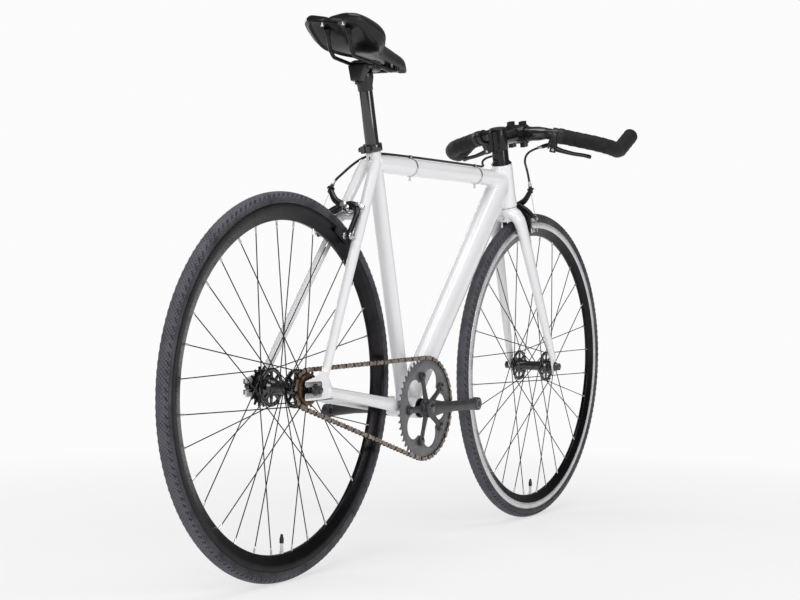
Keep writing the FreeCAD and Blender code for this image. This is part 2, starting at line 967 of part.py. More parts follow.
def build_seat_clamp():
    start = on_seat(d.seat_tube_length - d.clamp_overlap)
    inner = d.seat_tube_radius + d.fit_clearance
    outer = inner + d.clamp_wall
    height = d.clamp_height
    collar = rod("clamp_collar", start, seat_up, outer, height)
    ear_middle = start + seat_back * (outer + d.clamp_ear / 2 - d.clamp_wall / 2)
    ears = block(
        "clamp_ears", place(ear_middle, seat_up, seat_back), d.clamp_ear + d.clamp_wall, d.clamp_ear_width, height,
    )
    hole = rod("clamp_hole", start, seat_up, inner, height)
    gap = block("clamp_gap", place(ear_middle, seat_up, seat_back), d.clamp_ear * 3, d.clamp_slot, height)
    bolt_middle = ear_middle + seat_up * (height / 2) + seat_back * (d.clamp_wall / 2)
    half = d.clamp_ear_width / 2
    bolt_start = bolt_middle - LEFT * half
    shank = rod("clamp_bolt_hole", bolt_start, LEFT, d.clamp_bolt_radius, half * 2)
    collar_done = cut(fuse(collar, ears), hole, gap, shank)
    bolt = rod("clamp_bolt_shank", bolt_start, LEFT, d.clamp_bolt_radius, half * 2)
    head = rod(
        "clamp_bolt_head", bolt_middle + LEFT * half, LEFT, d.clamp_bolt_head_radius, d.clamp_bolt_head,
    )
    keep(group("seat_clamp", collar_done, fuse(bolt, head)), "seat_clamp")


# Wheels

def rim_profiles():
    bead = d.rim_bead_radius
    outer = bead + d.rim_hook
    crest = outer - d.rim_depth
    half = d.rim_width / 2
    bed = d.rim_bed_width / 2
    wall = d.rim_wall
    track = outer - d.rim_track_height
    shell = [
        (crest, -d.rim_crest_width / 2),
        (crest, d.rim_crest_width / 2),
        (track, half),
        (outer, half),
        (outer, half - wall),
        (bead, half - wall),
        (bead - d.rim_bed_drop, bed),
        (bead - d.rim_bed_drop, -bed),
        (bead, wall - half),
        (outer, wall - half),
        (outer, -half),
        (track, -half),
    ]
    floor = bead - d.rim_bed_drop - wall
    crest_half = d.rim_crest_width / 2 - wall / 2
    hollow = [
        (crest + wall, -crest_half),
        (crest + wall, crest_half),
        (track, half - wall * 2),
        (floor, half - wall * 2),
        (floor, wall * 2 - half),
        (track, wall * 2 - half),
    ]
    return shell, hollow


def tyre_profile():
    """A round casing that bulges over the rim's hooks, with beads standing on the rim's bed."""
    radius = d.tyre_width / 2
    centre = d.rim_bead_radius + radius
    inner = radius - d.tyre_wall
    bead = d.rim_bead_radius + d.tyre_gap
    bead_half = d.rim_width / 2 - d.rim_wall - d.tyre_gap
    neck = d.rim_bead_radius + d.rim_hook + d.tyre_gap
    inner_half = bead_half - d.tyre_wall
    outer_turn = math.degrees(math.acos((neck - centre) / radius))
    inner_turn = 180 - math.degrees(math.asin(inner_half / inner))
    outside = arc_corners(centre, zero, radius, outer_turn, -outer_turn, 10)
    inside = arc_corners(centre, zero, inner, -inner_turn, inner_turn, 5)
    return [
        (bead, bead_half),
        (neck, bead_half),
        *outside,
        (neck, -bead_half),
        (bead, -bead_half),
        (bead, -inner_half),
        *inside,
        (bead, inner_half),
    ]


def hub_profile(flange_radius, offset, body, half, nose, bore):
    thick = d.flange_thickness / 2
    lip = d.flange_rim
    right = [
        (bore, -half),
        (nose, -half),
        (nose, -offset - thick * 2),
        (flange_radius - lip, -offset - thick),
        (flange_radius, -offset - thick),
        (flange_radius, -offset + thick),
        (flange_radius - lip, -offset + thick),
        (body, -offset + thick * 4),
    ]
    return right + [(radius, -height) for radius, height in reversed(right)]


def build_hub(name, axle, flange_radius, offset, body, half, nose, bore):
    hub = turned(name, place(axle, LEFT, AHEAD), hub_profile(flange_radius, offset, body, half, nose, bore))
    sketch = sketch_on(hub, "XY_Plane", name + "_window")
    draw_outline(sketch, arc_corners(d.flange_window_circle, zero, d.flange_window_radius, 0, 288, 4))
    windows = pocket_through(hub, sketch)
    polar_pattern(hub, windows, sketch, n.flange_windows)
    keep(hub, name)


def spoke_shapes(axle, flange_radius, offset):
    """Laced spokes with their nipples: a flange's leading and trailing spokes on its two faces."""
    per_side = n.spokes // 2
    pairs = per_side // 2
    step = 360.0 / n.spokes
    reach = d.rim_bead_radius + d.rim_hook - d.rim_depth - d.end_gap
    circle = flange_radius - d.flange_rim / 2
    lean = n.spoke_crossings * 360.0 / per_side
    shapes = []
    for side in (1, -1):
        for pair in range(pairs):
            for way in (1, -1):
                rim_index = 4 * pair + (2 if way > 0 else 0) + (1 if side > 0 else 0)
                rim_angle = (rim_index + 0.5) * step
                hub_angle = rim_angle - way * lean
                lift = d.spoke_lift if way == side else 0
                face = side * offset + way * (d.flange_thickness / 2 + d.spoke_radius + lift)
                hx, hz = polar(circle, hub_angle)
                rx, rz = polar(reach, rim_angle)
                start = axle + V(hx, face, hz)
                end = axle + V(rx, side * d.rim_hole_stagger, rz)
                shapes.append(spoke(start, end))
    return shapes


def spoke(start, end):
    run = end - start
    along = V(run).normalize()
    thread = end - along * d.nipple_length
    shank = faceted_rod(start, thread, d.spoke_radius, 4)
    return shank.fuse(faceted_rod(thread, end, d.nipple_radius, 5))


def faceted_rod(start, end, radius, sides):
    """A slim rod with few flats, for pieces that repeat many times."""
    run = end - start
    spot = place(start, run)
    corners = [spot.multVec(V(*polar(radius, 360.0 * i / sides), 0)) for i in range(sides)]
    face = Part.Face(Part.makePolygon(corners + corners[:1]))
    return face.extrude(run)


def build_valve(name, axle):
    start = axle - UP * (d.rim_bead_radius + d.rim_hook - d.rim_depth - d.end_gap)
    stem = rod(name + "_stem", start, UP, d.valve_radius, d.valve_length)
    cap = rod(
        name + "_cap", start + UP * (d.valve_length - d.valve_cap_length), UP, d.valve_cap_radius, d.valve_cap_length,
    )
    keep(fuse(stem, cap), name)


def build_wheel(end, axle, flange_radius, offset):
    across = place(axle, LEFT, AHEAD)
    keep(turned(end + "_tyre", across, tyre_profile()), end + "_tyre")
    keep(turned(end + "_rim", across, *rim_profiles()), end + "_rim")
    laced = shape_feature(end + "_spokes", Part.makeCompound(spoke_shapes(axle, flange_radius, offset)))
    keep(laced, end + "_spokes")
    build_valve(end + "_valve", axle)


def build_axle(end, axle, radius, half, hub_half, dropout_half, plate):
    """A threaded axle with its cones inside the ends and a nut and washer outside each."""
    shaft = rod(end + "_shaft", axle - LEFT * half, LEFT, radius, half * 2)
    cone_start = hub_half + d.end_gap
    cone_height = dropout_half - cone_start
    pieces = []
    nuts = []
    for side in (1, -1):
        away = LEFT * side
        cone = rod(end + "_cone", axle + away * cone_start, away, d.cone_radius, cone_height)
        pieces.append(cone)
        face = axle + away * (dropout_half + plate)
        washer = rod(end + "_washer", face, away, d.axle_washer_radius, d.axle_washer_thickness)
        nut_start = face + away * d.axle_washer_thickness
        nut = hexagon_nut(end + "_nut", nut_start, away, d.axle_nut_width, d.axle_nut_height)
        nuts.append(cut(fuse(washer, nut), shaft))
    keep(group(end + "_axle", fuse(shaft, *pieces), *nuts), end + "_axle")


# Drive

def tooth_gap(teeth):
    """One gap between teeth: a roller seat that opens outwards past the tips."""
    radius = pitch_radius(teeth)
    seat = d.roller_radius + d.roller_clearance
    tip = radius + d.tooth_height + d.overrun
    mouth = seat + d.tooth_lean
    seat_turn = 54
    seat_arc = arc_corners(radius, zero, seat, 180 - seat_turn, 180 + seat_turn, 3)
    return [(tip, -mouth), (tip, mouth), *seat_arc]


def toothed_disc(name, placement, teeth, bore):
    body = new_body(name, placement)
    disc = sketch_on(body, "XY_Plane", name + "_disc")
    draw_circle(disc, zero, zero, pitch_radius(teeth) + d.tooth_height)
    draw_circle(disc, zero, zero, bore)
    pad(body, disc, d.tooth_thickness, midplane=True)
    gap = sketch_on(body, "XY_Plane", name + "_gap")
    draw_outline(gap, tooth_gap(teeth))
    polar_pattern(body, pocket_through(body, gap), gap, teeth)
    return body


def drive_angles():
    """The chain's lean, its run in links, and the angles at which it leaves the chainring."""
    lean = math.asin((ring_pitch_radius - sprocket_pitch_radius) / drive_length)
    run = drive_length * math.cos(lean) / d.chain_pitch
    back = math.atan2(rear_axle.z - bracket.z, rear_axle.x - bracket.x)
    quarter = math.pi / 2 - lean
    return float(lean), float(run), back - quarter, back + quarter


def in_drive(angle):
    return V(math.cos(angle), 0, math.sin(angle))


def drive_place(axle, angle):
    """A place in the plane of the drive, seen from the right, with x at the given angle."""
    return place(axle - LEFT * d.chainline, LEFT * -1, in_drive(angle))


def ring_gap_angle():
    return drive_angles()[2]


def sprocket_gap_angle():
    lean, run, top, bottom = drive_angles()
    return top + (math.ceil(run) - run) * 2 * math.pi / n.sprocket_teeth


def spread_circle(body, name, radius, angle, hole, count):
    """Round holes spread evenly on a circle, the first at the given angle."""
    sketch = sketch_on(body, "XY_Plane", name)
    draw_circle(sketch, radius * math.cos(angle), radius * math.sin(angle), hole)
    polar_pattern(body, pocket_through(body, sketch), sketch, count)


def build_chainring():
    gap = ring_gap_angle()
    body = toothed_disc("chainring", drive_place(bracket, gap), n.ring_teeth, d.ring_bore_radius)
    half_turn = math.pi / n.ring_bolts
    spread_circle(body, "ring_window", d.ring_window_circle, -gap, d.ring_window_radius, n.ring_bolts)
    spread_circle(body, "ring_hole", d.ring_bolt_circle, half_turn - gap, d.ring_bolt_radius, n.ring_bolts)
    keep(body, "chainring")


def build_freewheel():
    angle = sprocket_gap_angle()
    bore = d.freewheel_core_radius + d.running_clearance
    teeth = toothed_disc("freewheel_teeth", drive_place(rear_axle, angle), n.sprocket_teeth, bore)
    half = d.tooth_thickness / 2
    face = ring(
        "freewheel_face", rear_axle - LEFT * (d.chainline + half), LEFT * -1,
        d.freewheel_face_radius, bore, d.freewheel_outer - d.chainline - half,
    )
    keep(fuse(teeth, face), "freewheel_sprocket")
    core = ring(
        "freewheel_core", rear_axle - LEFT * d.freewheel_inner, LEFT * -1,
        d.freewheel_core_radius, d.hub_thread_radius + d.fit_clearance, d.freewheel_outer - d.freewheel_inner,
    )
    keep(core, "freewheel_core")


def build_fixed_cog():
    bore = d.hub_thread_radius + d.fit_clearance
    spot = place(rear_axle + LEFT * d.chainline, LEFT, AHEAD)
    teeth = toothed_disc("cog_teeth", spot, n.sprocket_teeth, bore)
    outer = d.chainline + d.tooth_thickness / 2
    collar_start = outer - d.cog_collar_depth
    collar = ring(
        "cog_collar", rear_axle + LEFT * collar_start, LEFT, d.cog_collar_radius, bore, d.cog_collar_depth,
    )
    lock = ring(
        "cog_lockring", rear_axle + LEFT * outer, LEFT, d.lockring_radius, bore, d.lockring_thickness,
    )
    keep(group("fixed_cog", fuse(teeth, collar), lock), "fixed_cog")


def chain_plate(inner_face):
    """A pair of side plates of one link, from its first roller along local x."""
    half = d.chain_plate_height / 2
    pitch = d.chain_pitch
    corners = [(-half, 0), (0, half), (pitch, half), (pitch + half, 0), (pitch, -half), (0, -half)]
    shapes = []
    for start in (inner_face, -inner_face - d.chain_plate_thickness):
        points = [V(x, start, z) for x, z in corners]
        face = Part.Face(Part.makePolygon(points + points[:1]))
        shapes.append(face.extrude(V(0, d.chain_plate_thickness, 0)))
    return shapes


def chain_roller(x):
    half = d.chain_inner_width / 2
    return faceted_rod(V(x, -half, 0), V(x, half, 0), d.roller_radius, 6)


def chain_shapes():
    rollers = [chain_roller(0), chain_roller(d.chain_pitch)]
    link = Part.makeCompound(chain_plate(d.chain_inner_width / 2) + rollers)
    outer = Part.makeCompound(
        chain_plate(d.chain_inner_width / 2 + d.chain_plate_thickness + d.chain_plate_gap),
    )
    drop = V(0, -d.chainline, 0)
    shapes = []
    for i in range(n.chain_links):
        start = chain_spot(i) + drop
        run = chain_spot((i + 1) % n.chain_links) + drop - start
        shape = (outer if i % 2 else link).copy()
        shape.Placement = place(start, run.cross(LEFT).normalize(), V(run).normalize())
        shapes.append(shape)
    return shapes


def build_chain():
    keep(shape_feature("chain", Part.makeCompound(chain_shapes())), "chain")


def chain_spot(links):
    """A roller's place in the drive plane, counted in links from the top of the chainring."""
    lean, run, top, bottom = drive_angles()
    wrap = n.sprocket_teeth * (math.pi - 2 * lean) / (2 * math.pi)
    if links < run:
        start = bracket + in_drive(top) * ring_pitch_radius
        end = rear_axle + in_drive(top) * sprocket_pitch_radius
        return start + (end - start) * (links / run)
    links -= run
    if links < wrap:
        return rear_axle + in_drive(top + links * 2 * math.pi / n.sprocket_teeth) * sprocket_pitch_radius
    links -= wrap
    if links < run:
        start = rear_axle + in_drive(bottom) * sprocket_pitch_radius
        end = bracket + in_drive(bottom) * ring_pitch_radius
        return start + (end - start) * (links / run)
    links -= run
    return bracket + in_drive(bottom + links * 2 * math.pi / n.ring_teeth) * ring_pitch_radius


def turn_corners(corners, degrees):
    c, s = polar(1, degrees)
    return [(x * c - y * s, x * s + y * c) for x, y in corners]


def crank_section(width, inner, thickness):
    half, corner, outer = width / 2, d.crank_corner, inner + thickness
    return [
        (corner - half, inner),
        (half - corner, inner),
        (half, inner + corner),
        (half, outer - corner),
        (half - corner, outer),
        (corner - half, outer),
        (-half, outer - corner),
        (-half, inner + corner),
    ]


def build_crank(name, out, along, spider):
    """A crank arm: boss on the spindle's square, tapering arm and pedal eye; the right one has a spider."""
    body = new_body(name + "_body", place(bracket, out, along))
    boss = sketch_on(body, "XY_Plane", name + "_boss", d.crank_boss_inner)
    draw_circle(boss, zero, zero, d.crank_boss_radius)
    pad(body, boss, d.crank_face - d.crank_boss_inner)
    root = sketch_on(body, "YZ_Plane", name + "_root", d.crank_boss_radius / 4)
    draw_outline(root, crank_section(d.crank_root_width, d.crank_face - d.crank_thickness, d.crank_thickness))
    tip = sketch_on(body, "YZ_Plane", name + "_tip", d.crank_length - d.crank_eye_radius / 2)
    draw_outline(
        tip, crank_section(d.crank_tip_width, d.crank_pedal_face - d.crank_eye_thickness, d.crank_eye_thickness),
    )
    arm = body.newObject("PartDesign::AdditiveLoft", name + "_arm")
    arm.Profile = root
    arm.Sections = [tip]
    arm.Ruled = True
    eye = sketch_on(body, "XY_Plane", name + "_eye", d.crank_pedal_face - d.crank_eye_thickness)
    draw_circle(eye, d.crank_length, zero, d.crank_eye_radius)
    pad(body, eye, d.crank_eye_thickness)
    if spider:
        build_spider(body)
    square = d.spindle_square + d.fit_clearance * 2
    spot = place(bracket + out * d.crank_boss_inner, out, along)
    socket = block(name + "_socket", spot, square, square, d.spindle_half - d.crank_boss_inner)
    recess_start = bracket + out * (d.crank_face - d.crank_bolt_recess)
    recess = rod(
        name + "_recess", recess_start, out, d.crank_bolt_radius + d.fit_clearance, d.crank_bolt_recess,
    )
    thread_start = bracket + along * d.crank_length + out * (d.crank_pedal_face - d.crank_eye_thickness)
    thread = rod(name + "_thread", thread_start, out, d.pedal_hole_radius, d.crank_eye_thickness)
    keep(cut(body, socket, recess, thread), name)


def build_spider(body):
    back = d.chainline + d.tooth_thickness / 2
    arm = sketch_on(body, "XY_Plane", "spider_arm", back)
    half, tip = d.spider_root_width / 2, d.spider_tip_radius
    rounded = arc_corners(d.ring_bolt_circle, zero, tip, -90, 90, 6)
    corners = [(zero, -half), *rounded, (zero, half)]
    half_turn = 180.0 / n.ring_bolts
    draw_outline(arm, turn_corners(corners, half_turn))
    polar_pattern(body, pad(body, arm, d.spider_thickness), arm, n.ring_bolts)
    angle = math.radians(half_turn)
    spread_circle(body, "spider_hole", d.ring_bolt_circle, angle, d.ring_bolt_radius, n.ring_bolts)


def build_crank_bolts():
    """The chainring's sleeve bolts, and the two bolts that hold the arms on the spindle."""
    bolts = []
    inner = d.chainline - d.tooth_thickness / 2
    outer = d.chainline + d.tooth_thickness / 2 + d.spider_thickness
    head = d.ring_bolt_head_height
    right = LEFT * -1
    for i in range(n.ring_bolts):
        x, z = polar(d.ring_bolt_circle, (i + 0.5) * 360.0 / n.ring_bolts)
        middle = bracket + V(x, 0, z)
        sleeve = prism(
            "ring_sleeve", middle + right * inner, right, d.ring_bolt_radius - d.fit_clearance, outer - inner,
        )
        nut = prism("ring_nut", middle + right * (inner - head), right, d.ring_bolt_head_radius, head)
        cap = prism("ring_cap", middle + right * outer, right, d.ring_bolt_head_radius, head)
        bolts.append(fuse(sleeve, nut, cap))
    for side in (1, -1):
        start = bracket + LEFT * side * (d.crank_face - d.crank_bolt_recess)
        bolts.append(rod("crank_bolt", start, LEFT * side, d.crank_bolt_radius, d.crank_bolt_recess / 2))
    keep(group("crank_bolts", *bolts), "crank_bolts")


def build_spindle():
    half = d.spindle_half
    neck = d.bracket_shell_half + d.bracket_lip_thickness + d.overrun
    barrel = rod("spindle_barrel", bracket - LEFT * neck, LEFT, d.spindle_radius, neck * 2)
    spot = place(bracket - LEFT * half, LEFT, AHEAD)
    square = block("spindle_square", spot, d.spindle_square, d.spindle_square, half * 2)
    keep(fuse(barrel, square), "crank_spindle")


# Fork

crown_middle = on_head(d.fork_length - d.crown_joint)
blade_up = (crown_middle - front_axle).normalize()
blade_ahead = LEFT.cross(blade_up)
crown_arch = tyre_radius + d.tyre_clearance
crown_foot = crown_arch - d.crown_leg_drop
stem_foot = head_top + head_up * (d.crown_gap + d.cover_height + d.spacer_height)
stem_middle = stem_foot + head_up * (d.stem_height / 2)
bar_centre = stem_middle + head_ahead * d.stem_length - head_up * d.stem_drop
steerer_hole = d.steerer_radius + d.fit_clearance
front_brake_centre = front_axle + blade_up * d.front_brake_reach


def on_blade(side, up):
    return front_axle + LEFT * side + blade_up * up


def crown_outline():
    """The crown seen from ahead: an arch over the tyre, two legs and round shoulders."""
    side = d.crown_side
    inner = side - d.crown_leg
    top = crown_arch + d.crown_thickness
    bend = d.crown_shoulder
    arch = arc_corners(zero, crown_arch - inner, inner, 0, 180, 8)
    left = arc_corners(bend - side, top - bend, bend, 180, 90, 4)
    right = arc_corners(side - bend, top - bend, bend, 90, 0, 4)
    feet = [(-inner, crown_foot), (-side, crown_foot)]
    return [(inner, crown_foot), *arch, *feet, *left, *right, (side, crown_foot)]


def fork_end_outline():
    half = d.front_axle_radius + d.slot_clearance
    wide = d.fork_end_radius
    low_share, cheek_share, tip_share = 0.85, 0.4, 0.66
    low = -wide * low_share
    tongue = d.fork_end_tongue_half
    shoulder = d.blade_tip_above - d.end_gap
    slot = arc_corners(zero, zero, half, 0, 180, 8)
    return [
        (half, low),
        *slot,
        (-half, low),
        (-wide, -wide * cheek_share),
        (-wide, wide),
        (-tongue, shoulder),
        (-tongue * tip_share, d.fork_end_tongue),
        (tongue * tip_share, d.fork_end_tongue),
        (tongue, shoulder),
        (wide, wide),
        (wide, -wide * cheek_share),
    ]


def build_fork():
    """The steerer, crown and blades; the crown's two solids come back for the brake to seat on."""
    yoke = padded("crown_yoke", place(front_axle, blade_ahead, LEFT), crown_outline(), d.crown_depth)
    seat_foot = on_head(d.fork_length - d.crown_thickness)
    seat = taper(
        "crown_seat", seat_foot, head_up, d.crown_depth / 2, d.crown_top_radius, d.crown_thickness - d.crown_gap,
    )
    foot = on_head(d.fork_length - d.steerer_sink)
    above = d.cover_height + d.spacer_height + d.stem_height - d.overrun
    length = d.steerer_sink + d.head_length + d.crown_gap + above
    socket = rod("crown_socket", foot, head_up, steerer_hole, length)
    bolt_start = front_brake_centre - blade_ahead * d.crown_depth
    bolt_hole = rod(
        "crown_bolt_hole", bolt_start, blade_ahead, d.brake_bolt_radius + d.fit_clearance, d.crown_depth * 2,
    )
    keep(cut(fuse(yoke, seat), socket, bolt_hole), "fork_crown")
    steerer = tube("steerer", foot, foot + head_up * length, d.steerer_radius, d.steerer_wall)[1]
    keep(cut(steerer, bolt_hole), "fork_steerer")

    middle = d.front_dropout_half + d.fork_end_thickness / 2
    spot = place(front_axle - LEFT * middle, LEFT * -1, blade_ahead)
    plate = padded("right_fork_end", spot, fork_end_outline(), d.fork_end_thickness)
    root = on_blade(d.crown_leg / 2 - d.crown_side, crown_foot)
    tip = on_blade(-middle, d.blade_tip_above)
    blade_down = blade_up * -1
    wall = d.tube_wall
    outer = oval_loft(
        "blade_outer", root, tip, blade_down, blade_ahead,
        d.blade_root_deep, d.blade_root_wide, d.blade_tip_deep, d.blade_tip_wide,
    )
    inner = oval_loft(
        "blade_inner", root, tip, blade_down, blade_ahead,
        d.blade_root_deep - wall, d.blade_root_wide - wall, d.blade_tip_deep - wall, d.blade_tip_wide - wall,
    )
    right = group("right_blade", cut(outer, inner), plate)
    keep(group("fork_blades", right, mirrored(right)), "fork_blades")

    cover_foot = head_top + head_up * d.crown_gap
    cover = taper("cover_cone", cover_foot, head_up, d.head_radius, d.spacer_radius, d.cover_height)
    spacer_foot = cover_foot + head_up * d.cover_height
    spacer = rod("cover_spacer", spacer_foot, head_up, d.spacer_radius, d.spacer_height)
    bore = rod("cover_bore", cover_foot, head_up, steerer_hole, d.cover_height + d.spacer_height)
    keep(cut(fuse(cover, spacer), bore), "headset_cover")
    return yoke, seat


# Stem

def build_stem():
    reach = bar_centre - stem_middle
    reach_way = V(reach).normalize()
    reach_up = reach_way.cross(LEFT)
    half = d.stem_clamp_half
    sleeve = rod("stem_sleeve", stem_foot, head_up, d.stem_radius, d.stem_height)
    neck = rod("stem_neck", stem_middle, reach, d.stem_neck_radius, Size(reach.Length))
    clamp = rod("stem_clamp", bar_centre - LEFT * half, LEFT, d.stem_clamp_radius, half * 2)
    ears = []
    holes = []
    bolts = []
    depth = d.stem_ear_depth
    for side in (1, -1):
        foot = bar_centre + LEFT * side * d.stem_bolt_spread - reach_up * d.stem_ear_half_height
        spot = place(foot, reach_up, reach_way)
        ears.append(block("stem_ear", spot, depth, d.stem_ear_width, d.stem_ear_half_height * 2))
        for rise in (d.stem_bolt_rise, -d.stem_bolt_rise):
            middle = bar_centre + LEFT * side * d.stem_bolt_spread + reach_up * rise
            start = middle - reach_way * (depth / 2)
            holes.append(rod("faceplate_hole", start, reach_way, d.stem_bolt_radius + d.fit_clearance, depth))
            bolts.append(stem_bolt(start, reach_way, depth))
    whole = fuse(clamp, *ears)
    bar_bore = rod(
        "stem_bar_bore", bar_centre - LEFT * half, LEFT, d.bar_centre_radius + d.fit_clearance, half * 2,
    )
    big = d.stem_ear_half_height * 4
    split = d.stem_split / 2
    ahead = block("stem_ahead", place(bar_centre + reach_way * -split, reach_way, LEFT), big, big, big)
    behind = block("stem_behind", place(bar_centre + reach_way * split, reach_way * -1, LEFT), big, big, big)
    keep(cut(whole, bar_bore, behind, *holes), "stem_faceplate")

    lug_depth = d.stem_back_depth
    lug_spot = place(stem_foot - head_ahead * d.stem_radius, head_up, head_ahead)
    lug = block("stem_lug", lug_spot, lug_depth * 2, d.stem_back_width, d.stem_height)
    slot = block("stem_slit", lug_spot, lug_depth * 2 + d.overrun, d.stem_slot, d.stem_height)
    socket = rod("stem_socket", stem_foot, head_up, steerer_hole, d.stem_height)
    rise_share = 0.28
    for share in (rise_share, 1 - rise_share):
        middle = stem_foot + head_up * (d.stem_height * share) - head_ahead * (d.stem_radius + lug_depth / 2)
        start = middle - LEFT * (d.stem_back_width / 2)
        holes.append(rod("lug_hole", start, LEFT, d.stem_bolt_radius + d.fit_clearance, d.stem_back_width))
        bolts.append(stem_bolt(start, LEFT, d.stem_back_width))
    keep(cut(fuse(sleeve, neck, whole, lug), socket, bar_bore, slot, ahead, *holes), "stem")
    cap = rod("stem_cap", stem_foot + head_up * d.stem_height, head_up, d.spacer_radius, d.stem_cap_height)
    keep(group("stem_bolts", cap, *bolts), "stem_bolts")


def stem_bolt(start, direction, length):
    shank = prism("stem_bolt_shank", start, direction, d.stem_bolt_radius, length)
    head_start = start + direction * length
    head = prism("stem_bolt_head", head_start, direction, d.stem_bolt_head_radius, d.stem_bolt_head_height)
    return fuse(shank, head)


# Handlebar

def bar_points(side):
    """Corners of one half of the bar, from beside the stem to the tip."""
    flat = bar_centre + LEFT * side * d.bar_flat_half
    out = bar_centre + LEFT * side * d.bar_half_width
    elbow = out + V(d.bar_sweep_ahead, 0, -d.bar_sweep_drop)
    horn = out + V(d.bar_horn_ahead, 0, -d.bar_horn_drop)
    tip = out + V(d.bar_tip_ahead, 0, d.bar_tip_rise)
    return [flat, elbow, horn, tip]


def bar_run(side):
    """The direction of the bar's sloping run, outwards from its flat."""
    flat, elbow = bar_points(side)[:2]
    return (elbow - flat).normalize()


def build_handlebar():
    right, left = bar_points(-1), bar_points(1)
    bends = [d.bar_shoulder_bend, d.bar_elbow_bend, d.bar_tip_bend]
    path = rounded_path(right[::-1] + left, bends[::-1] + bends)
    outer = shape_feature("bar_outer", pipe(path, d.bar_radius))
    bore = shape_feature("bar_bore", pipe(path, d.bar_radius - d.bar_wall))
    half = d.bar_bulge_half
    bulge = rod("bar_bulge", bar_centre - LEFT * half, LEFT, d.bar_centre_radius, half * 2)
    cones = []
    for side in (1, -1):
        start = bar_centre + LEFT * side * half
        length = d.bar_taper_half - half
        cones.append(taper("bar_taper", start, LEFT * side, d.bar_centre_radius, d.bar_radius, length))
    keep(cut(fuse(outer, bulge, *cones), bore), "handlebar")

    flat, elbow, horn, tip = right
    start = flat + bar_run(-1) * d.tape_start
    tape_path = rounded_path([start, elbow, horn, tip], bends[1:])
    tape_bore = d.bar_radius + d.fit_clearance
    wrap = cut(
        shape_feature("tape_outer", pipe(tape_path, tape_bore + d.tape_thickness)),
        shape_feature("tape_inner", pipe(tape_path, tape_bore)),
    )
    keep(group("bar_tape", wrap, mirrored(wrap)), "bar_tape")
    plug = rod("bar_plug", tip, tip - horn, d.plug_radius, d.plug_height)
    keep(group("bar_plugs", plug, mirrored(plug)), "bar_plugs")


# Brake levers

def lever_axes():
    """For the right lever: the clamp's middle, and the directions outwards, to the lever and of its pin."""
    out = bar_run(-1)
    middle = bar_points(-1)[0] + out * d.lever_clamp_along
    lean = math.radians(d.lever_lean)
    down = V(math.cos(lean), 0, -math.sin(lean))
    down = (down - out * down.dot(out)).normalize()
    return middle, out, down, out.cross(down)


def build_levers():
    middle, out, down, pin_way = lever_axes()
    width = d.lever_clamp_width
    hole = d.bar_radius + d.fit_clearance
    start = middle - out * (width / 2)
    collar = rod("lever_collar", start, out, hole + d.lever_clamp_wall, width)
    bore = rod("lever_collar_bore", start, out, hole, width)
    boss = d.lever_boss
    inside = d.lever_thickness / 2 + d.lever_gap
    cheeks = []
    for side in (1, -1):
        foot = middle + down * d.bar_radius + pin_way * side * (inside + d.lever_cheek / 2)
        spot = place(foot, down, out)
        cheeks.append(
            block("lever_cheek", spot, boss * 2, d.lever_cheek, d.lever_offset + boss - d.bar_radius),
        )
    full = (inside + d.lever_cheek) * 2
    web_height = hole + d.lever_clamp_wall / 2
    web_foot = middle + down * web_height - out * lever_web_back()
    web = block("lever_web", place(web_foot, down, out), d.lever_cheek, full, d.lever_offset - web_height)
    link = block("lever_web_link", place(web_foot + out * (boss / 2), down, out), boss, full, d.lever_cheek)
    stop_start, stop_way = lever_stop()
    stop = rod("lever_stop", stop_start, stop_way, d.barrel_radius, d.barrel_length)
    pivot = middle + down * d.lever_offset
    pin = rod("lever_pin", pivot - pin_way * (full / 2), pin_way, d.lever_pin_radius, full)
    bracket_right = fuse(cut(fuse(collar, *cheeks, web, link), bore), stop, pin)
    keep(group("lever_brackets", bracket_right, mirrored(bracket_right)), "lever_brackets")

    long, deep = d.lever_length, d.lever_deep
    blade_shares = [
        (-0.075, -0.35), (-0.035, -0.70), (0.075, -0.72), (0.40, -0.30), (0.90, 0.10), (1.00, 0.50),
        (0.97, 0.92), (0.70, 0.70), (0.35, 0.55), (0.10, 0.72), (-0.035, 0.70), (-0.075, 0.35),
    ]
    corners = [(long * along, deep * across) for along, across in blade_shares]
    blade = padded("lever_blade", place(pivot, pin_way, out), corners, d.lever_thickness)
    pin_bore = rod(
        "lever_pin_bore", pivot - pin_way * (full / 2), pin_way,
        d.lever_pin_radius + d.running_clearance, full,
    )
    right = cut(blade, pin_bore)
    keep(right, "right_brake_lever")
    keep(mirrored(right), "left_brake_lever")


def lever_web_back():
    """How far behind its pin the web that joins the bracket's cheeks stands."""
    return d.lever_boss + d.overrun + d.lever_cheek / 2


def lever_stop():
    """The right lever's cable stop: where it leaves the web, and its direction towards the stem."""
    dip_share = 0.55
    middle, out, down, pin_way = lever_axes()
    start = middle + down * (d.lever_offset - d.barrel_radius - d.overrun) - out * lever_web_back()
    return start, (down * dip_share - out).normalize()


# Brakes

def front_brake_axes():
    return LEFT * -1, blade_up, blade_ahead


def rear_brake_axes():
    up = (bridge_middle() - rear_axle).normalize()
    return LEFT, up, LEFT.cross(up) * -1


def bridge_middle():
    spot = bridge_centre()
    return V(spot.x, 0, spot.z)


def brake_layers(face):
    """Middles of the pinch arm's and the adjuster arm's layers, ahead of the bolt's seat."""
    pinch = face + d.brake_plate_thickness + d.brake_layer_gap + d.brake_arm_thickness / 2
    return pinch, pinch + d.brake_arm_thickness + d.brake_layer_gap


def brake_foot(reach, layer):
    """How far below the bolt the pad's middle lies."""
    radius = d.rim_bead_radius - d.pad_below_bead
    return reach - Size(math.sqrt(radius**2 - layer**2))


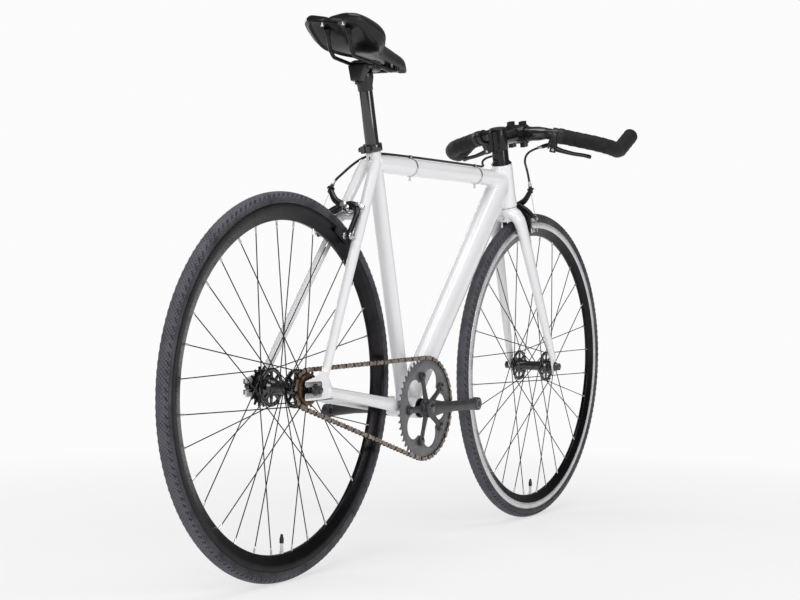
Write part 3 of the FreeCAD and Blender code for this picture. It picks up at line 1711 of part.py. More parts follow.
def adjuster_outline(foot):
    s = d.brake_arm_span
    inner = d.brake_leg_inner
    outer = inner + d.brake_leg_width
    head_shares = [
        (-0.18, 0.00), (-0.08, 0.16), (0.12, 0.18), (0.74, 0.78), (0.96, 0.78),
        (1.02, 0.62), (0.92, 0.52), (0.34, 0.06), (0.60, -0.16),
    ]
    fork_shares = [(0.40, -0.26), (0.08, -0.18), (-0.12, -0.14)]
    knee_share = 0.48
    leg = [(outer, -s * knee_share), (outer, -foot), (inner, -foot), (inner, -s * knee_share)]
    return [(s * x, s * y) for x, y in head_shares] + leg + [(s * x, s * y) for x, y in fork_shares]


def pinch_outline(foot):
    s = d.brake_arm_span
    inner = d.brake_leg_inner
    outer = inner + d.brake_leg_width
    over_shares = [
        (1.02, -0.44), (0.96, -0.16), (0.74, 0.26), (0.28, 0.50), (-0.24, 0.48), (-0.62, 0.26),
    ]
    under_shares = [
        (-0.40, -0.08), (-0.24, 0.22), (0.00, 0.28), (0.40, 0.20),
        (0.64, 0.00), (0.78, -0.28), (0.82, -0.58), (0.98, -0.58),
    ]
    knee_share, hip_share = 0.28, 0.16
    leg = [(-outer, -s * hip_share), (-outer, -foot), (-inner, -foot), (-inner, -s * knee_share)]
    return [(s * x, s * y) for x, y in over_shares] + leg + [(s * x, s * y) for x, y in under_shares]


def build_brake_pad(name, axle, axes, side, layer, reach):
    """One brake shoe with the stud that carries it on its arm."""
    across, up, away = axes
    middle = axle + up * (reach - brake_foot(reach, layer)) + away * layer
    radial = (middle - axle).normalize()
    out = across * side
    inner = d.rim_width / 2 + d.pad_gap
    spot = place(middle + out * inner, out, out.cross(radial))
    pad_block = block(name + "_pad", spot, d.pad_length, d.pad_height, d.pad_thickness)
    stud_length = d.brake_leg_inner + d.brake_leg_width / 2 - inner - d.pad_thickness
    stud = prism(
        name + "_stud", middle + out * (inner + d.pad_thickness), out, d.pad_stud_radius, stud_length,
    )
    return pad_block, stud


def build_brake(end, axle, axes, face, back, reach, seats):
    """A dual-pivot caliper: bolt, back plate, the adjuster arm on the bolt and the pinch arm on the side pin."""
    across, up, away = axes
    centre = axle + up * reach

    def at(x, y, layer):
        return centre + across * x + up * y + away * layer

    def flat(layer):
        return place(centre + away * layer, away * -1, across)

    thick, gap = d.brake_arm_thickness, d.brake_layer_gap
    pinch_layer, adjuster_layer = brake_layers(face)
    pivot_x, pivot_y = -d.brake_side_pivot, d.brake_side_pivot_up
    hole = d.brake_bolt_radius + d.brake_bolt_clearance
    boss = d.brake_boss_radius

    bolt_start = back + d.brake_nut_height
    front = adjuster_layer + thick / 2 + gap
    bolt = rod(end + "_bolt", at(0, 0, -bolt_start), away, d.brake_bolt_radius, bolt_start + front)
    nut = prism(end + "_bolt_nut", at(0, 0, -bolt_start), away, d.brake_nut_radius, d.brake_nut_height)
    head = prism(end + "_bolt_head", at(0, 0, front), away, boss, d.brake_head_height)
    spacer = cut(rod(end + "_bolt_spacer", at(0, 0, 0), away, boss, face), *seats)
    collar = rod(end + "_bolt_collar", at(0, 0, face), away, boss, d.brake_plate_thickness + gap + thick)
    plate_shares = [(0.16, -0.16), (0.16, 0.16), (-0.42, 0.30), (-0.64, 0.22), (-0.64, 0.02), (-0.16, -0.16)]
    corners = [(d.brake_arm_span * x, d.brake_arm_span * y) for x, y in plate_shares]
    plate = padded(
        end + "_back_plate", flat(face + d.brake_plate_thickness / 2), corners, d.brake_plate_thickness,
    )
    pin_end = pinch_layer + thick / 2 + gap / 2
    pin = rod(end + "_side_pin", at(pivot_x, pivot_y, face), away, d.brake_bolt_radius, pin_end - face)
    pin_cap = prism(end + "_pin_cap", at(pivot_x, pivot_y, pin_end), away, boss - d.overrun, d.overrun)
    keep(fuse(bolt, nut, head, spacer, collar, plate, pin, pin_cap), end + "_brake_bolt")

    foot = brake_foot(reach, adjuster_layer) + d.brake_leg_below
    arm = padded(end + "_adjuster_plate", flat(adjuster_layer), adjuster_outline(foot), thick)
    pad_block, stud = build_brake_pad(end + "_adjuster", axle, axes, 1, adjuster_layer, reach)
    barrel = rod(
        end + "_barrel", at(d.brake_barrel_out, d.brake_barrel_up, adjuster_layer),
        up, d.barrel_radius, d.barrel_length,
    )
    wire_way = rod(
        end + "_wire_way", at(d.brake_barrel_out, 0, adjuster_layer), up, d.barrel_bore, d.brake_arm_span * 2,
    )
    bolt_bore = rod(end + "_bolt_bore", at(0, 0, 0), away, hole, front)
    done = cut(fuse(arm, stud, barrel), wire_way, bolt_bore)
    keep(group(end + "_brake_adjuster_arm", done, pad_block), end + "_brake_adjuster_arm")

    foot = brake_foot(reach, pinch_layer) + d.brake_leg_below
    arm = padded(end + "_pinch_plate", flat(pinch_layer), pinch_outline(foot), thick)
    pad_block, stud = build_brake_pad(end + "_pinch", axle, axes, -1, pinch_layer, reach)
    pin_bore = rod(end + "_pin_bore", at(pivot_x, pivot_y, face), away, hole, front - face)
    wire_out = d.brake_barrel_out
    clamp_height = adjuster_layer - pinch_layer + d.wire_radius * 2
    clamp = prism(
        end + "_pinch_bolt", at(wire_out, -d.brake_pinch_down, pinch_layer), away, d.brake_pinch_radius, clamp_height,
    )
    tail = d.brake_pinch_down + d.wire_tail
    wire = rod(
        end + "_wire", at(wire_out, -tail, adjuster_layer), up, d.wire_radius,
        tail + d.brake_barrel_up - d.barrel_radius,
    )
    done = fuse(cut(fuse(arm, stud), pin_bore), clamp, wire)
    keep(group(end + "_brake_pinch_arm", done, pad_block), end + "_brake_pinch_arm")


# Cables

# Right lever to front brake, in one bend beside the head tube.
front_cable_route = [
    V(396.9, -54.5, 811.5),
    V(395.5, -35.1, 806.7),
    V(382.0, -24.0, 795.0),
    V(362.0, -30.0, 778.0),
    V(350.9, -41.0, 762.0),
    V(350.7, -45.0, 748.7),
    V(360.5, -45.0, 725.7),
]

# Left lever to the top tube, past the left of the head tube.
bar_cable_route = [
    V(396.9, 54.5, 811.5),
    V(395.7, 38.0, 807.4),
    V(384.0, 20.0, 800.0),
    V(362.0, 20.0, 796.0),
    V(341.0, 31.0, 790.5),
    V(314.0, 37.0, 783.5),
    V(287.0, 31.0, 775.5),
    V(263.0, 19.0, 767.5),
    V(246.0, 6.0, 760.7),
    V(228.0, 3.0, 759.3),
]

# Along the top tube, past the left of the seat clamp and down to the rear brake.
rear_cable_route = [
    V(227.6, 2.9, 759.3),
    V(207.0, 0.0, 759.0),
    V(-150.0, 0.0, 759.0),
    V(-180.0, 13.0, 760.5),
    V(-208.0, 27.0, 758.0),
    V(-236.0, 40.0, 749.0),
    V(-251.0, 45.5, 731.5),
    V(-257.7, 45.0, 710.9),
    V(-269.0, 45.0, 694.4),
]


def build_cables():
    routes = {
        "front_cable_housing": front_cable_route,
        "rear_cable_bar_run": bar_cable_route,
        "rear_cable_housing": rear_cable_route,
    }
    for name, points in routes.items():
        path = rounded_path(points, cord_radii(points))
        keep(shape_feature(name, pipe(path, d.housing_radius)), name)


def build_clips():
    """Bands round the top tube, each with a loop for the cable above and a screw below."""
    clip_shares = (0.244, 0.75)
    width = d.clip_width
    hug = d.top_tube_radius + d.fit_clearance
    grip = d.housing_radius + d.fit_clearance
    cable = rear_cable_route[2]
    clips = []
    for share in clip_shares:
        start = seat_joint + (head_joint - seat_joint) * share
        loop_start = V(start.x, cable.y, cable.z)
        band = rod("clip_band", start, AHEAD, hug + d.clip_wall, width)
        loop = rod("clip_loop", loop_start, AHEAD, grip + d.clip_wall, width)
        screw_start = start + AHEAD * (width / 2) - UP * hug
        screw = prism("clip_screw", screw_start, UP * -1, d.clip_screw_radius, d.clip_screw_length)
        inside = rod("clip_inside", start, AHEAD, hug, width)
        eye = rod("clip_eye", loop_start, AHEAD, grip, width)
        clips.append(cut(fuse(band, loop, screw), inside, eye))
    keep(group("cable_clips", *clips), "cable_clips")


# Seatpost and saddle

post_top = on_seat(d.seat_tube_length + d.post_rise)
saddle_ahead = slope_ahead(90 + d.saddle_tilt)
saddle_up = saddle_ahead.cross(LEFT)
base_bottom = d.saddle_above - d.saddle_base_gap - d.saddle_base_thickness


def on_saddle(ahead, side, up):
    return post_top + saddle_ahead * ahead + LEFT * side + saddle_up * up


def build_seatpost():
    start = on_seat(d.seat_tube_length - d.post_insert)
    post_rod, post = tube("seatpost", start, post_top, d.post_radius, d.post_wall)
    keep(post, "seatpost")
    length, half = d.cradle_length, d.cradle_half_width
    split = d.cradle_gap / 2
    neck_share = 0.8
    neck_top = d.rail_height - d.cradle_height
    neck = block(
        "cradle_neck", place(post_top - saddle_up * d.cradle_height, saddle_up, saddle_ahead),
        length * neck_share, d.post_radius * 2 + d.overrun, neck_top + d.cradle_height,
    )
    bed = block(
        "cradle_bed", place(on_saddle(0, 0, neck_top), saddle_up, saddle_ahead),
        length, half * 2, d.cradle_height - split,
    )
    cap = block(
        "cradle_cap", place(on_saddle(0, 0, d.rail_height + split), saddle_up, saddle_ahead),
        length, half * 2, d.cradle_cap_height - split,
    )
    grooves = [
        rod(
            "cradle_groove", on_saddle(-length, side * d.rail_side, d.rail_height), saddle_ahead,
            d.rail_radius + d.fit_clearance, length * 2,
        )
        for side in (1, -1)
    ]
    bolt_start = on_saddle(0, 0, neck_top)
    bolt = prism(
        "cradle_bolt", bolt_start, saddle_up, d.cradle_bolt_radius, base_bottom - neck_top - d.overrun,
    )
    lower = cut(fuse(neck, bed), *grooves, post_rod, bolt)
    upper = cut(cap, *grooves, bolt)
    keep(group("saddle_clamp", lower, upper, bolt), "saddle_clamp")


def saddle_plan():
    """Stations along the saddle: shares of its length, half width and crown at the lobes and the middle."""
    station_shares = [
        (0.000, 0.52, 0.50, 0.42),
        (0.055, 0.84, 0.84, 0.66),
        (0.180, 1.00, 1.00, 0.78),
        (0.320, 0.82, 0.90, 0.72),
        (0.450, 0.48, 0.72, 0.64),
        (0.600, 0.36, 0.61, 0.57),
        (0.760, 0.30, 0.54, 0.52),
        (0.920, 0.24, 0.43, 0.42),
        (1.000, 0.12, 0.22, 0.21),
    ]
    plan = []
    for along, wide, lobe, dip in station_shares:
        heights = d.saddle_crown * lobe, d.saddle_crown * dip
        plan.append((d.saddle_length * along - d.saddle_back, d.saddle_half_width * wide, *heights))
    return plan


def saddle_section(ahead, half, lobe, dip):
    """One cross-section: flat below, drawn-in sides, two lobes and the dip between them."""
    tuck_share, waist_share, hip_share = 0.80, 0.34, 0.56
    shoulder_side_share, shoulder_up_share = 0.78, 0.92
    lobe_side_share, dip_side_share = 0.5, 0.2
    waist = half * tuck_share

    def at(side, up):
        return on_saddle(ahead, side, d.saddle_above + up)

    edges = [Part.LineSegment(at(-waist, 0), at(waist, 0)).toShape()]
    flanks = []
    for side in (1, -1):
        reach = side * half
        hip = at(reach, lobe * hip_share)
        crest = at(reach * lobe_side_share, lobe)
        flank = Part.Arc(at(side * waist, 0), at(reach, lobe * waist_share), hip)
        top = Part.Arc(hip, at(reach * shoulder_side_share, lobe * shoulder_up_share), crest)
        inner = Part.Arc(crest, at(reach * dip_side_share, (lobe + dip) / 2), at(0, dip))
        flanks.append([flank.toShape(), top.toShape(), inner.toShape()])
    edges += flanks[0] + flanks[1][::-1]
    return Part.Wire(Part.__sortEdges__(edges))


def build_saddle():
    sections = [saddle_section(*station) for station in saddle_plan()]
    cover = Part.makeLoft(sections, True, False)
    keep(shape_feature("saddle_cover", cover), "saddle_cover")
    inset_share = 0.74
    plan = [(ahead, half * inset_share) for ahead, half, lobe, dip in saddle_plan()]
    corners = [(ahead, -half) for ahead, half in plan] + [(ahead, half) for ahead, half in reversed(plan)]
    spot = place(on_saddle(0, 0, base_bottom), saddle_up, saddle_ahead)
    base = padded("saddle_base", spot, corners, d.saddle_base_thickness, False)
    keep(base, "saddle_base")
    low = d.rail_height
    points = [
        on_saddle(-d.rail_tail_back, d.rail_side, base_bottom),
        on_saddle(-d.rail_back, d.rail_side, low),
        on_saddle(d.rail_ahead, d.rail_side, low),
        on_saddle(d.rail_nose_ahead, d.rail_nose_side, base_bottom),
    ]
    path = rounded_path(points, [d.rail_bend, d.rail_bend])
    rail = cut(shape_feature("left_rail", pipe(path, d.rail_radius)), base)
    keep(group("saddle_rails", rail, mirrored(rail)), "saddle_rails")


# The whole bike

def build_all():
    build_frame()
    build_bearings()
    build_bracket_cartridge()
    build_seat_clamp()
    build_wheel("front", front_axle, d.front_flange_radius, d.front_flange_offset)
    build_wheel("rear", rear_axle, d.rear_flange_radius, d.rear_flange_offset)
    front_bore = d.front_axle_radius + d.running_clearance
    rear_bore = d.rear_axle_radius + d.running_clearance
    build_hub(
        "front_hub", front_axle, d.front_flange_radius, d.front_flange_offset,
        d.front_hub_radius, d.front_hub_half, d.hub_nose_radius, front_bore,
    )
    build_hub(
        "rear_hub", rear_axle, d.rear_flange_radius, d.rear_flange_offset,
        d.rear_hub_radius, d.rear_hub_half, d.hub_thread_radius, rear_bore,
    )
    build_axle(
        "front", front_axle, d.front_axle_radius, d.front_axle_half,
        d.front_hub_half, d.front_dropout_half, d.fork_end_thickness,
    )
    build_axle(
        "rear", rear_axle, d.rear_axle_radius, d.rear_axle_half,
        d.rear_hub_half, d.rear_dropout_half, d.dropout_thickness,
    )
    build_chainring()
    build_freewheel()
    build_fixed_cog()
    build_chain()
    build_crank("right_crank_arm", LEFT * -1, AHEAD, True)
    build_crank("left_crank_arm", LEFT, AHEAD * -1, False)
    build_crank_bolts()
    build_spindle()
    crown_solids = build_fork()
    build_stem()
    build_handlebar()
    build_levers()
    build_brake(
        "front", front_axle, front_brake_axes(), d.front_brake_face, d.crown_depth / 2 + d.brake_nut_seat,
        d.front_brake_reach, crown_solids,
    )
    build_brake(
        "rear", rear_axle, rear_brake_axes(), d.rear_brake_face,
        d.bridge_radius, d.bridge_reach, [doc.getObject("bridge_bar")],
    )
    build_cables()
    build_clips()
    build_seatpost()
    build_saddle()


build_all()
doc.recompute()
for obj in doc.Objects:
    if any(word in obj.State for word in ("Invalid", "Error")):
        raise RuntimeError(f"{obj.Name} did not build: {obj.State}")
for obj in nodes:
    if obj.Shape.isNull() or not obj.Shape.isValid():
        raise RuntimeError(f"{obj.Label} has no valid shape")
os.makedirs("parts", exist_ok=True)
for obj in nodes:
    obj.Shape.exportStep(f"parts/{obj.Label}.step")
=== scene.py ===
import json
import math

import bmesh
import bpy
from mathutils import Matrix, Vector


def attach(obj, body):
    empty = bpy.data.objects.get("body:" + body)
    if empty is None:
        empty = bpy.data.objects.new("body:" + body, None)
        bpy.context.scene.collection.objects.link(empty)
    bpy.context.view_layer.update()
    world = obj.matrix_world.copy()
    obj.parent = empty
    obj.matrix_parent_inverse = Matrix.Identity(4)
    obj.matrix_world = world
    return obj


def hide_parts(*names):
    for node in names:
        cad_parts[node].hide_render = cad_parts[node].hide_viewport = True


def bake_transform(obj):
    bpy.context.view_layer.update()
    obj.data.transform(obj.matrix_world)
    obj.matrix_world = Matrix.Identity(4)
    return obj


# Fixed gear bike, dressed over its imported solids. Metres: x ahead, y to the rider's left, z up.

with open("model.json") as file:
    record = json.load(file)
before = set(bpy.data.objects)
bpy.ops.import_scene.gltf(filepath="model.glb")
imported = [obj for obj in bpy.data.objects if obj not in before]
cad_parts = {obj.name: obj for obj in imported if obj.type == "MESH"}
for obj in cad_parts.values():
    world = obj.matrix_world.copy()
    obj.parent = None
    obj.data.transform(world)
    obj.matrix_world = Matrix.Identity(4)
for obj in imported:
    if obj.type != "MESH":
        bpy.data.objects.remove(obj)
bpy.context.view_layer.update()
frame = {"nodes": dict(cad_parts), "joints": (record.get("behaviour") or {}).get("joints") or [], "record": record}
nodes = frame["nodes"]
joints = {joint["name"]: joint for joint in frame["joints"]}
bodies = frame["record"]["behaviour"]["bodies"]
carrier = {node: body for body, members in bodies.items() for node in members}

front_axle = Vector(joints["front_wheel_spin"]["pos_m"])
rear_axle = Vector(joints["rear_wheel_spin"]["pos_m"])
bracket = Vector(joints["crank_spin"]["pos_m"])
head_up = Vector(joints["steering"]["axis"]).normalized()
head_top = Vector(joints["steering"]["pos_m"])
seat_up = Vector(joints["seatpost_slide"]["axis"]).normalized()
AHEAD, LEFT, UP = Vector((1, 0, 0)), Vector((0, 1, 0)), Vector((0, 0, 1))
seat_back = LEFT.cross(seat_up) * -1

# Wheels
BEAD_RADIUS = 0.311
TYRE_WIDTH = 0.025
TYRE_NECK = 0.3173
TREAD_STEP = 0.0003
TYRE_ROUND, TYRE_ARC = 2.11, 0.062
RIM_OUTER = 0.317
RIM_CREST = 0.287
RIM_TRACK = 0.304
RIM_HALF = 0.0098
RIM_CREST_HALF = 0.0035
RIM_WALL = 0.0018
RIM_ROUND = 0.0009
TRACK_GROOVE = 0.0003
WHEEL_STEPS = 180
LUG_COUNT = 150
LUG_LONG, LUG_WIDE, LUG_HIGH, LUG_SHOULDER_DEGREES = 0.0095, 0.0034, 0.0006, 56
SPOKES = 32
SPOKE_CROSSINGS = 3
SPOKE_RADIUS = 0.0010
SPOKE_LIFT = 0.0015
SPOKE_REACH = 0.2867
SPOKE_HEAD = 0.0017
NIPPLE_RADIUS, NIPPLE_LENGTH = 0.0019, 0.011
RIM_STAGGER = 0.0016
FLANGE_THICKNESS, FLANGE_LIP = 0.003, 0.004
FRONT_FLANGE = (0.033, 0.033)
REAR_FLANGE = (0.034, 0.025)
# Half length, waist radius and nose radius of each hub
FRONT_HUB, REAR_HUB = (0.046, 0.0100, 0.0120), (0.052, 0.0120, 0.0172)
VALVE_RADIUS, VALVE_CAP_RADIUS = 0.003, 0.0038
VALVE_LENGTH, VALVE_CAP_LENGTH = 0.034, 0.016

# Drive
CHAIN_PITCH = 0.0127
RING_TEETH, SPROCKET_TEETH, CHAIN_LINKS = 48, 16, 98
CHAINLINE = 0.046
ROLLER_RADIUS, ROLLER_HALF = 0.0039, 0.00165
PLATE_END, PLATE_WAIST, PLATE_THICKNESS, PLATE_GAP = 0.0043, 0.0024, 0.00105, 0.00008
PIN_RADIUS, PIN_PROUD = 0.0018, 0.0005

# Frame and fork
HEAD_LENGTH, HEAD_JOINT_BELOW, HEAD_RADIUS = 0.093, 0.033, 0.0225
HEAD_FLARE, HEAD_FLARE_HEIGHT = 0.0018, 0.026
TOP_TUBE_RADIUS, SEAT_TUBE_RADIUS, SEAT_TUBE_LENGTH = 0.017, 0.0143, 0.506
SHELL_RADIUS, SHELL_HALF = 0.020, 0.034
DOWN_TUBE_DEPTH, DOWN_TUBE_WIDTH = 0.060, 0.038
CHAINSTAY_ROOT, CHAINSTAY_FOOT, CHAINSTAY_SIDE = Vector((-0.018, 0, 0)), Vector((0.042, 0, -0.006)), 0.022
CHAINSTAY_ROOT_OVAL, CHAINSTAY_FOOT_OVAL = (0.0135, 0.0080), (0.0095, 0.0075)
STAY_TOP_BELOW, STAY_TOP_BACK, STAY_TOP_SIDE = 0.024, 0.0135, 0.0112
STAY_TOP_RADIUS, STAY_FOOT_RADIUS = 0.0110, 0.0080
STAY_FOOT = Vector((0.035, 0, 0.026))
BRIDGE_RADIUS = 0.0085
DROPOUT_SIDE, DROPOUT_THICKNESS, DROPOUT_TAIL, DROPOUT_HEIGHT = 0.0625, 0.005, 0.025, 0.038
DROPOUT_NOSE, DROPOUT_SLOT, REAR_AXLE_RADIUS, FRONT_AXLE_RADIUS = 0.057, 0.012, 0.0051, 0.0046
PLATE_FACE_HALF, PLATE_FACE_TAIL, PLATE_FACE_NOSE = 0.0138, 0.0265, 0.0215
PLATE_FACE_CORNER, PLATE_FACE_THICKNESS = 0.003, 0.0016
SLIT_LENGTH, SLIT_RADIUS, SLIT_END_RADIUS = 0.030, 0.0014, 0.00252
FORK_END_SIDE, FORK_END_HALF = 0.0525, 0.011
CROWN_GAP, CROWN_HEIGHT = 0.0005, 0.030
# Side, height above the axle, half depth and half thickness down a fork blade
FORK_STATIONS = [
    (0.000, 0.3640, 0.0165, 0.0135), (0.011, 0.3625, 0.0170, 0.0135), (0.021, 0.3560, 0.0172, 0.0130),
    (0.028, 0.3440, 0.0170, 0.0118), (0.031, 0.3280, 0.0164, 0.0109), (0.0325, 0.3100, 0.0158, 0.0104),
    (0.0425, 0.1650, 0.0125, 0.0090), (0.0525, 0.0200, 0.0085, 0.0068),
]
FRAME_VOXEL, FORK_VOXEL, TUBE_SIDES = 0.0022, 0.0016, 160
WINDOWS = 8

# Brakes
BRAKE_PINCH_LAYER, BRAKE_LAYER_STEP, BRAKE_ARM_HALF = 0.0069, 0.0074, 0.0034
BRAKE_FACE = {"front": 0.027, "rear": 0.013}
BRAKE_FOOT = {"front": 0.057, "rear": 0.065}
BRAKE_BOLT, BRAKE_PIVOT_OUT, BRAKE_PIVOT_UP, BRAKE_PINCH_DOWN = 0.0032, 0.024, 0.007, 0.024
BARREL_OUT, BARREL_UP, BARREL_RADIUS, BARREL_LENGTH = 0.045, 0.032, 0.0042, 0.016
PAD_RADIUS, PAD_GAP, PAD_THICKNESS = 0.308, 0.0018, 0.008
PAD_HALF, PAD_LENGTH, PAD_STUD, STUD_RADIUS = 0.005, 0.046, 0.0130, 0.00289
WIRE_RADIUS, WIRE_TAIL = 0.0007, 0.032
# Places across and up from the bolt, and half widths, along each arm down to its straight leg
ADJUSTER_ARM = [
    (0.046, 0.040, 0.0046), (0.041, 0.033, 0.0052), (0.026, 0.015, 0.0062), (0.005, 0.002, 0.0072),
    (0.012, -0.007, 0.0064), (0.022, -0.015, 0.0060), (0.027, -0.030, 0.0056),
]
PINCH_ARM = [
    (0.046, -0.028, 0.0046), (0.043, -0.017, 0.0050), (0.033, -0.005, 0.0058), (0.018, 0.005, 0.0066),
    (0.002, 0.0095, 0.0074), (-0.012, 0.0085, 0.0072), (-0.021, 0.001, 0.0068), (-0.0265, -0.013, 0.0060),
    (-0.027, -0.032, 0.0056),
]
BRAKE_LEG, BRAKE_LEG_HALF = 0.027, 0.0060
BRAKE_HEAD, BRAKE_WASHER, BRAKE_NUT, BRAKE_PIN, BRAKE_PLATE = 0.0048, 0.0064, 0.0040, 0.00448, 0.0017

# Cranks
CRANK_LENGTH, CRANK_FACE, PEDAL_FACE, CRANK_THICKNESS = 0.170, 0.062, 0.072, 0.0125
BOSS_RADIUS, BOSS_INNER, EYE_RADIUS, PEDAL_HOLE, CAP_RADIUS = 0.0175, 0.042, 0.0130, 0.0071, 0.0095
RING_BOLT_CIRCLE, FINGER_PLANE, FINGER_THICKNESS, FINGER_TIP = 0.065, 0.0500, 0.0056, 0.0088
CRANK_VOXEL = 0.0011
CAP_SUNK, CAP_PROUD, HOLE_PROUD, COLLAR_PROUD, COLLAR_RADIUS = 0.0017, 0.001, 0.0005, 0.00025, 0.008378
# Shares of the arm's length, of the eye's radius and of the thickness
CRANK_SHARES = [
    (0.02, 1.30, 1.1), (0.10, 1.24, 1.1), (0.25, 0.96, 1.0),
    (0.5, 0.80, 0.95), (0.8, 0.84, 0.95), (0.99, 0.95, 1.0),
]
# Shares of the bolt circle and of the finger's tip
FINGER_SHARES = [(0.10, 1.15), (0.35, 0.92), (0.65, 0.70), (0.9, 0.80), (1.0, 0.85)]

# Bar and cables
BAR_CENTRE = Vector((0.38580, 0, 0.83830))
BAR_FLAT, BAR_HALF_WIDTH = 0.070, 0.195
BAR_RADIUS = 0.0119
# The corners of each half, from the bar's middle moved out by its half width, and the radii of the bends
BAR_TURNS = [Vector((0.040, 0, -0.027)), Vector((0.095, 0, -0.033)), Vector((0.159, 0, 0.004))]
BAR_BENDS = (0.055, 0.034)
LEVER_PIN_REACH = 0.0076
# Reach from the pin, sag, half depth and half thickness of the lever's blade
LEVER_STATIONS = [
    (-0.006, -0.001, 0.0030, 0.0030), (-0.003, 0.000, 0.0058, 0.0043), (0.006, 0.000, 0.0064, 0.0045),
    (0.020, 0.002, 0.0050, 0.0045), (0.045, 0.003, 0.0042, 0.0045), (0.068, 0.0015, 0.0040, 0.0045),
    (0.080, 0.0020, 0.0044, 0.0045), (0.0835, 0.0024, 0.0030, 0.0035),
]
TAPE_RADIUS, TAPE_START, TAPE_STEP, TAPE_LIP, TAPE_GRAIN = 0.0160, 0.026, 0.019, 0.0008, 0.0016
HOUSING_RADIUS = 0.0024
FERRULE_RADIUS, FERRULE_LENGTH = 0.0031, 0.011

# Saddle
POST_TOP = Vector((-0.23534, 0, 0.88557))
SADDLE_TILT_DEGREES = 5.6
SADDLE_LENGTH, SADDLE_BACK, SADDLE_HALF = 0.264, 0.132, 0.070
SADDLE_ABOVE, SADDLE_CROWN = 0.0415, 0.052
SADDLE_BULGE, TAIL_NOTCH, WELT_RADIUS = 0.004, 0.026, 0.0011
SHELL_EDGE_SHARE, SHELL_STEP_SHARE, SHELL_NOSE_SHARE = 0.27, 0.04, 0.06
SHELL_RECESS, SHELL_THICKNESS = 0.007, 0.0016
RAIL_RADIUS, RAIL_SIDE, RAIL_END_UP, NOSE_RAIL_SIDE = 0.0035, 0.022, 0.036, 0.010
TAIL_RAIL, TAIL_SOCKET, NOSE_RAIL, TAIL_SCREW = -0.084, -0.100, 0.092, -0.116
TAIL_SOCKET_UP, NOSE_SOCKET_UP, SOCKET_RADIUS, SOCKET_LENGTH = 0.073, 0.047, 0.0058, 0.012
SCREW_RADIUS, SCREW_UP, CLAMP_BOLT_RADIUS = 0.0034, 0.0735, 0.00408
CLAMP_NECK_RADIUS, CLAMP_NECK_LENGTH, CLAMP_NECK_ABOVE = 0.0140, 0.032, 0.014
# Half length, half width, height and thickness of the cradle and the top plate
CLAMP_PLATES = [(0.019, 0.028, 0.0225, 0.009), (0.017, 0.028, 0.0318, 0.006)]
# Height, half length, half width and setback of the bolt block's foot and head
CLAMP_BLOCK = [(-0.006, 0.007, 0.010, -0.024), (0.022, 0.011, 0.018, -0.020)]

# Floor, light and camera
BACKDROP, FILL_LIGHT = 0.97, 0.2
FLOOR_REACH, FADE_NEAR, FADE_FAR = 30.0, 0.5, 1.9
LAMP_AIM = (0, 0, 0.5)
# Place, size and power of each softbox
LAMPS = {
    "overhead_softbox": ((-0.3, -0.2, 2.9), (2.6, 1.6), 40),
    "right_softbox": ((-0.6, -3.0, 1.4), (1.0, 1.5), 28),
    "rear_softbox": ((-3.2, -0.9, 1.7), (1.3, 1.6), 34),
    "left_softbox": ((1.2, 2.9, 1.6), (1.4, 1.4), 22),
}
CAMERA_SPOT = Vector((-2.8242, -1.6285, 0.5356))
CAMERA_AZIMUTH, CAMERA_ELEVATION, CAMERA_ROLL = 0.5231, 0.0612, -0.0164
CAMERA_SENSOR, CAMERA_LENS, CAMERA_SHIFT = 36.0, 74.665, (-0.0298, 0.0943)

# Meshes
SQUARE = ((-1, -1), (1, -1), (1, 1), (-1, 1))
MERGE = 0.00002
EDGE_ROUND, BOLT_EDGE, FINE_EDGE, TOOTH_EDGE, CLIP_EDGE = 0.0005, 0.0004, 0.0003, 0.0002, 0.0001
SHARP_DEGREES, EASE_SHARE = 35, 0.5


# Materials

# Depth of the grain in each finish
PEEL_DEPTH, ALLOY_DEPTH, LATHE_DEPTH, SCUFF_DEPTH = 0.00001, 0.00004, 0.00003, 0.00003
KNURL_DEPTH, SIPE_DEPTH, SPARK_DEPTH, LINK_DEPTH = 0.0003, 0.0001, 0.00008, 0.00005
TAPE_DEPTH, VINYL_DEPTH = 0.0002, 0.00008


def feed(tree, socket, value):
    """Give a socket a value, or the output of another node."""
    if isinstance(value, bpy.types.NodeSocket):
        tree.links.new(value, socket)
    else:
        socket.default_value = value


def add(tree, kind, settings=None, **inputs):
    """A shader node with its settings and its inputs."""
    node = tree.nodes.new("ShaderNode" + kind)
    for key, value in (settings or {}).items():
        setattr(node, key, value)
    for key, value in inputs.items():
        feed(tree, node.inputs[key.replace("_", " ")], value)
    return node


def maths(tree, operation, *values):
    node = add(tree, "Math", {"operation": operation})
    for socket, value in zip(node.inputs, values):
        feed(tree, socket, value)
    return node.outputs[0]


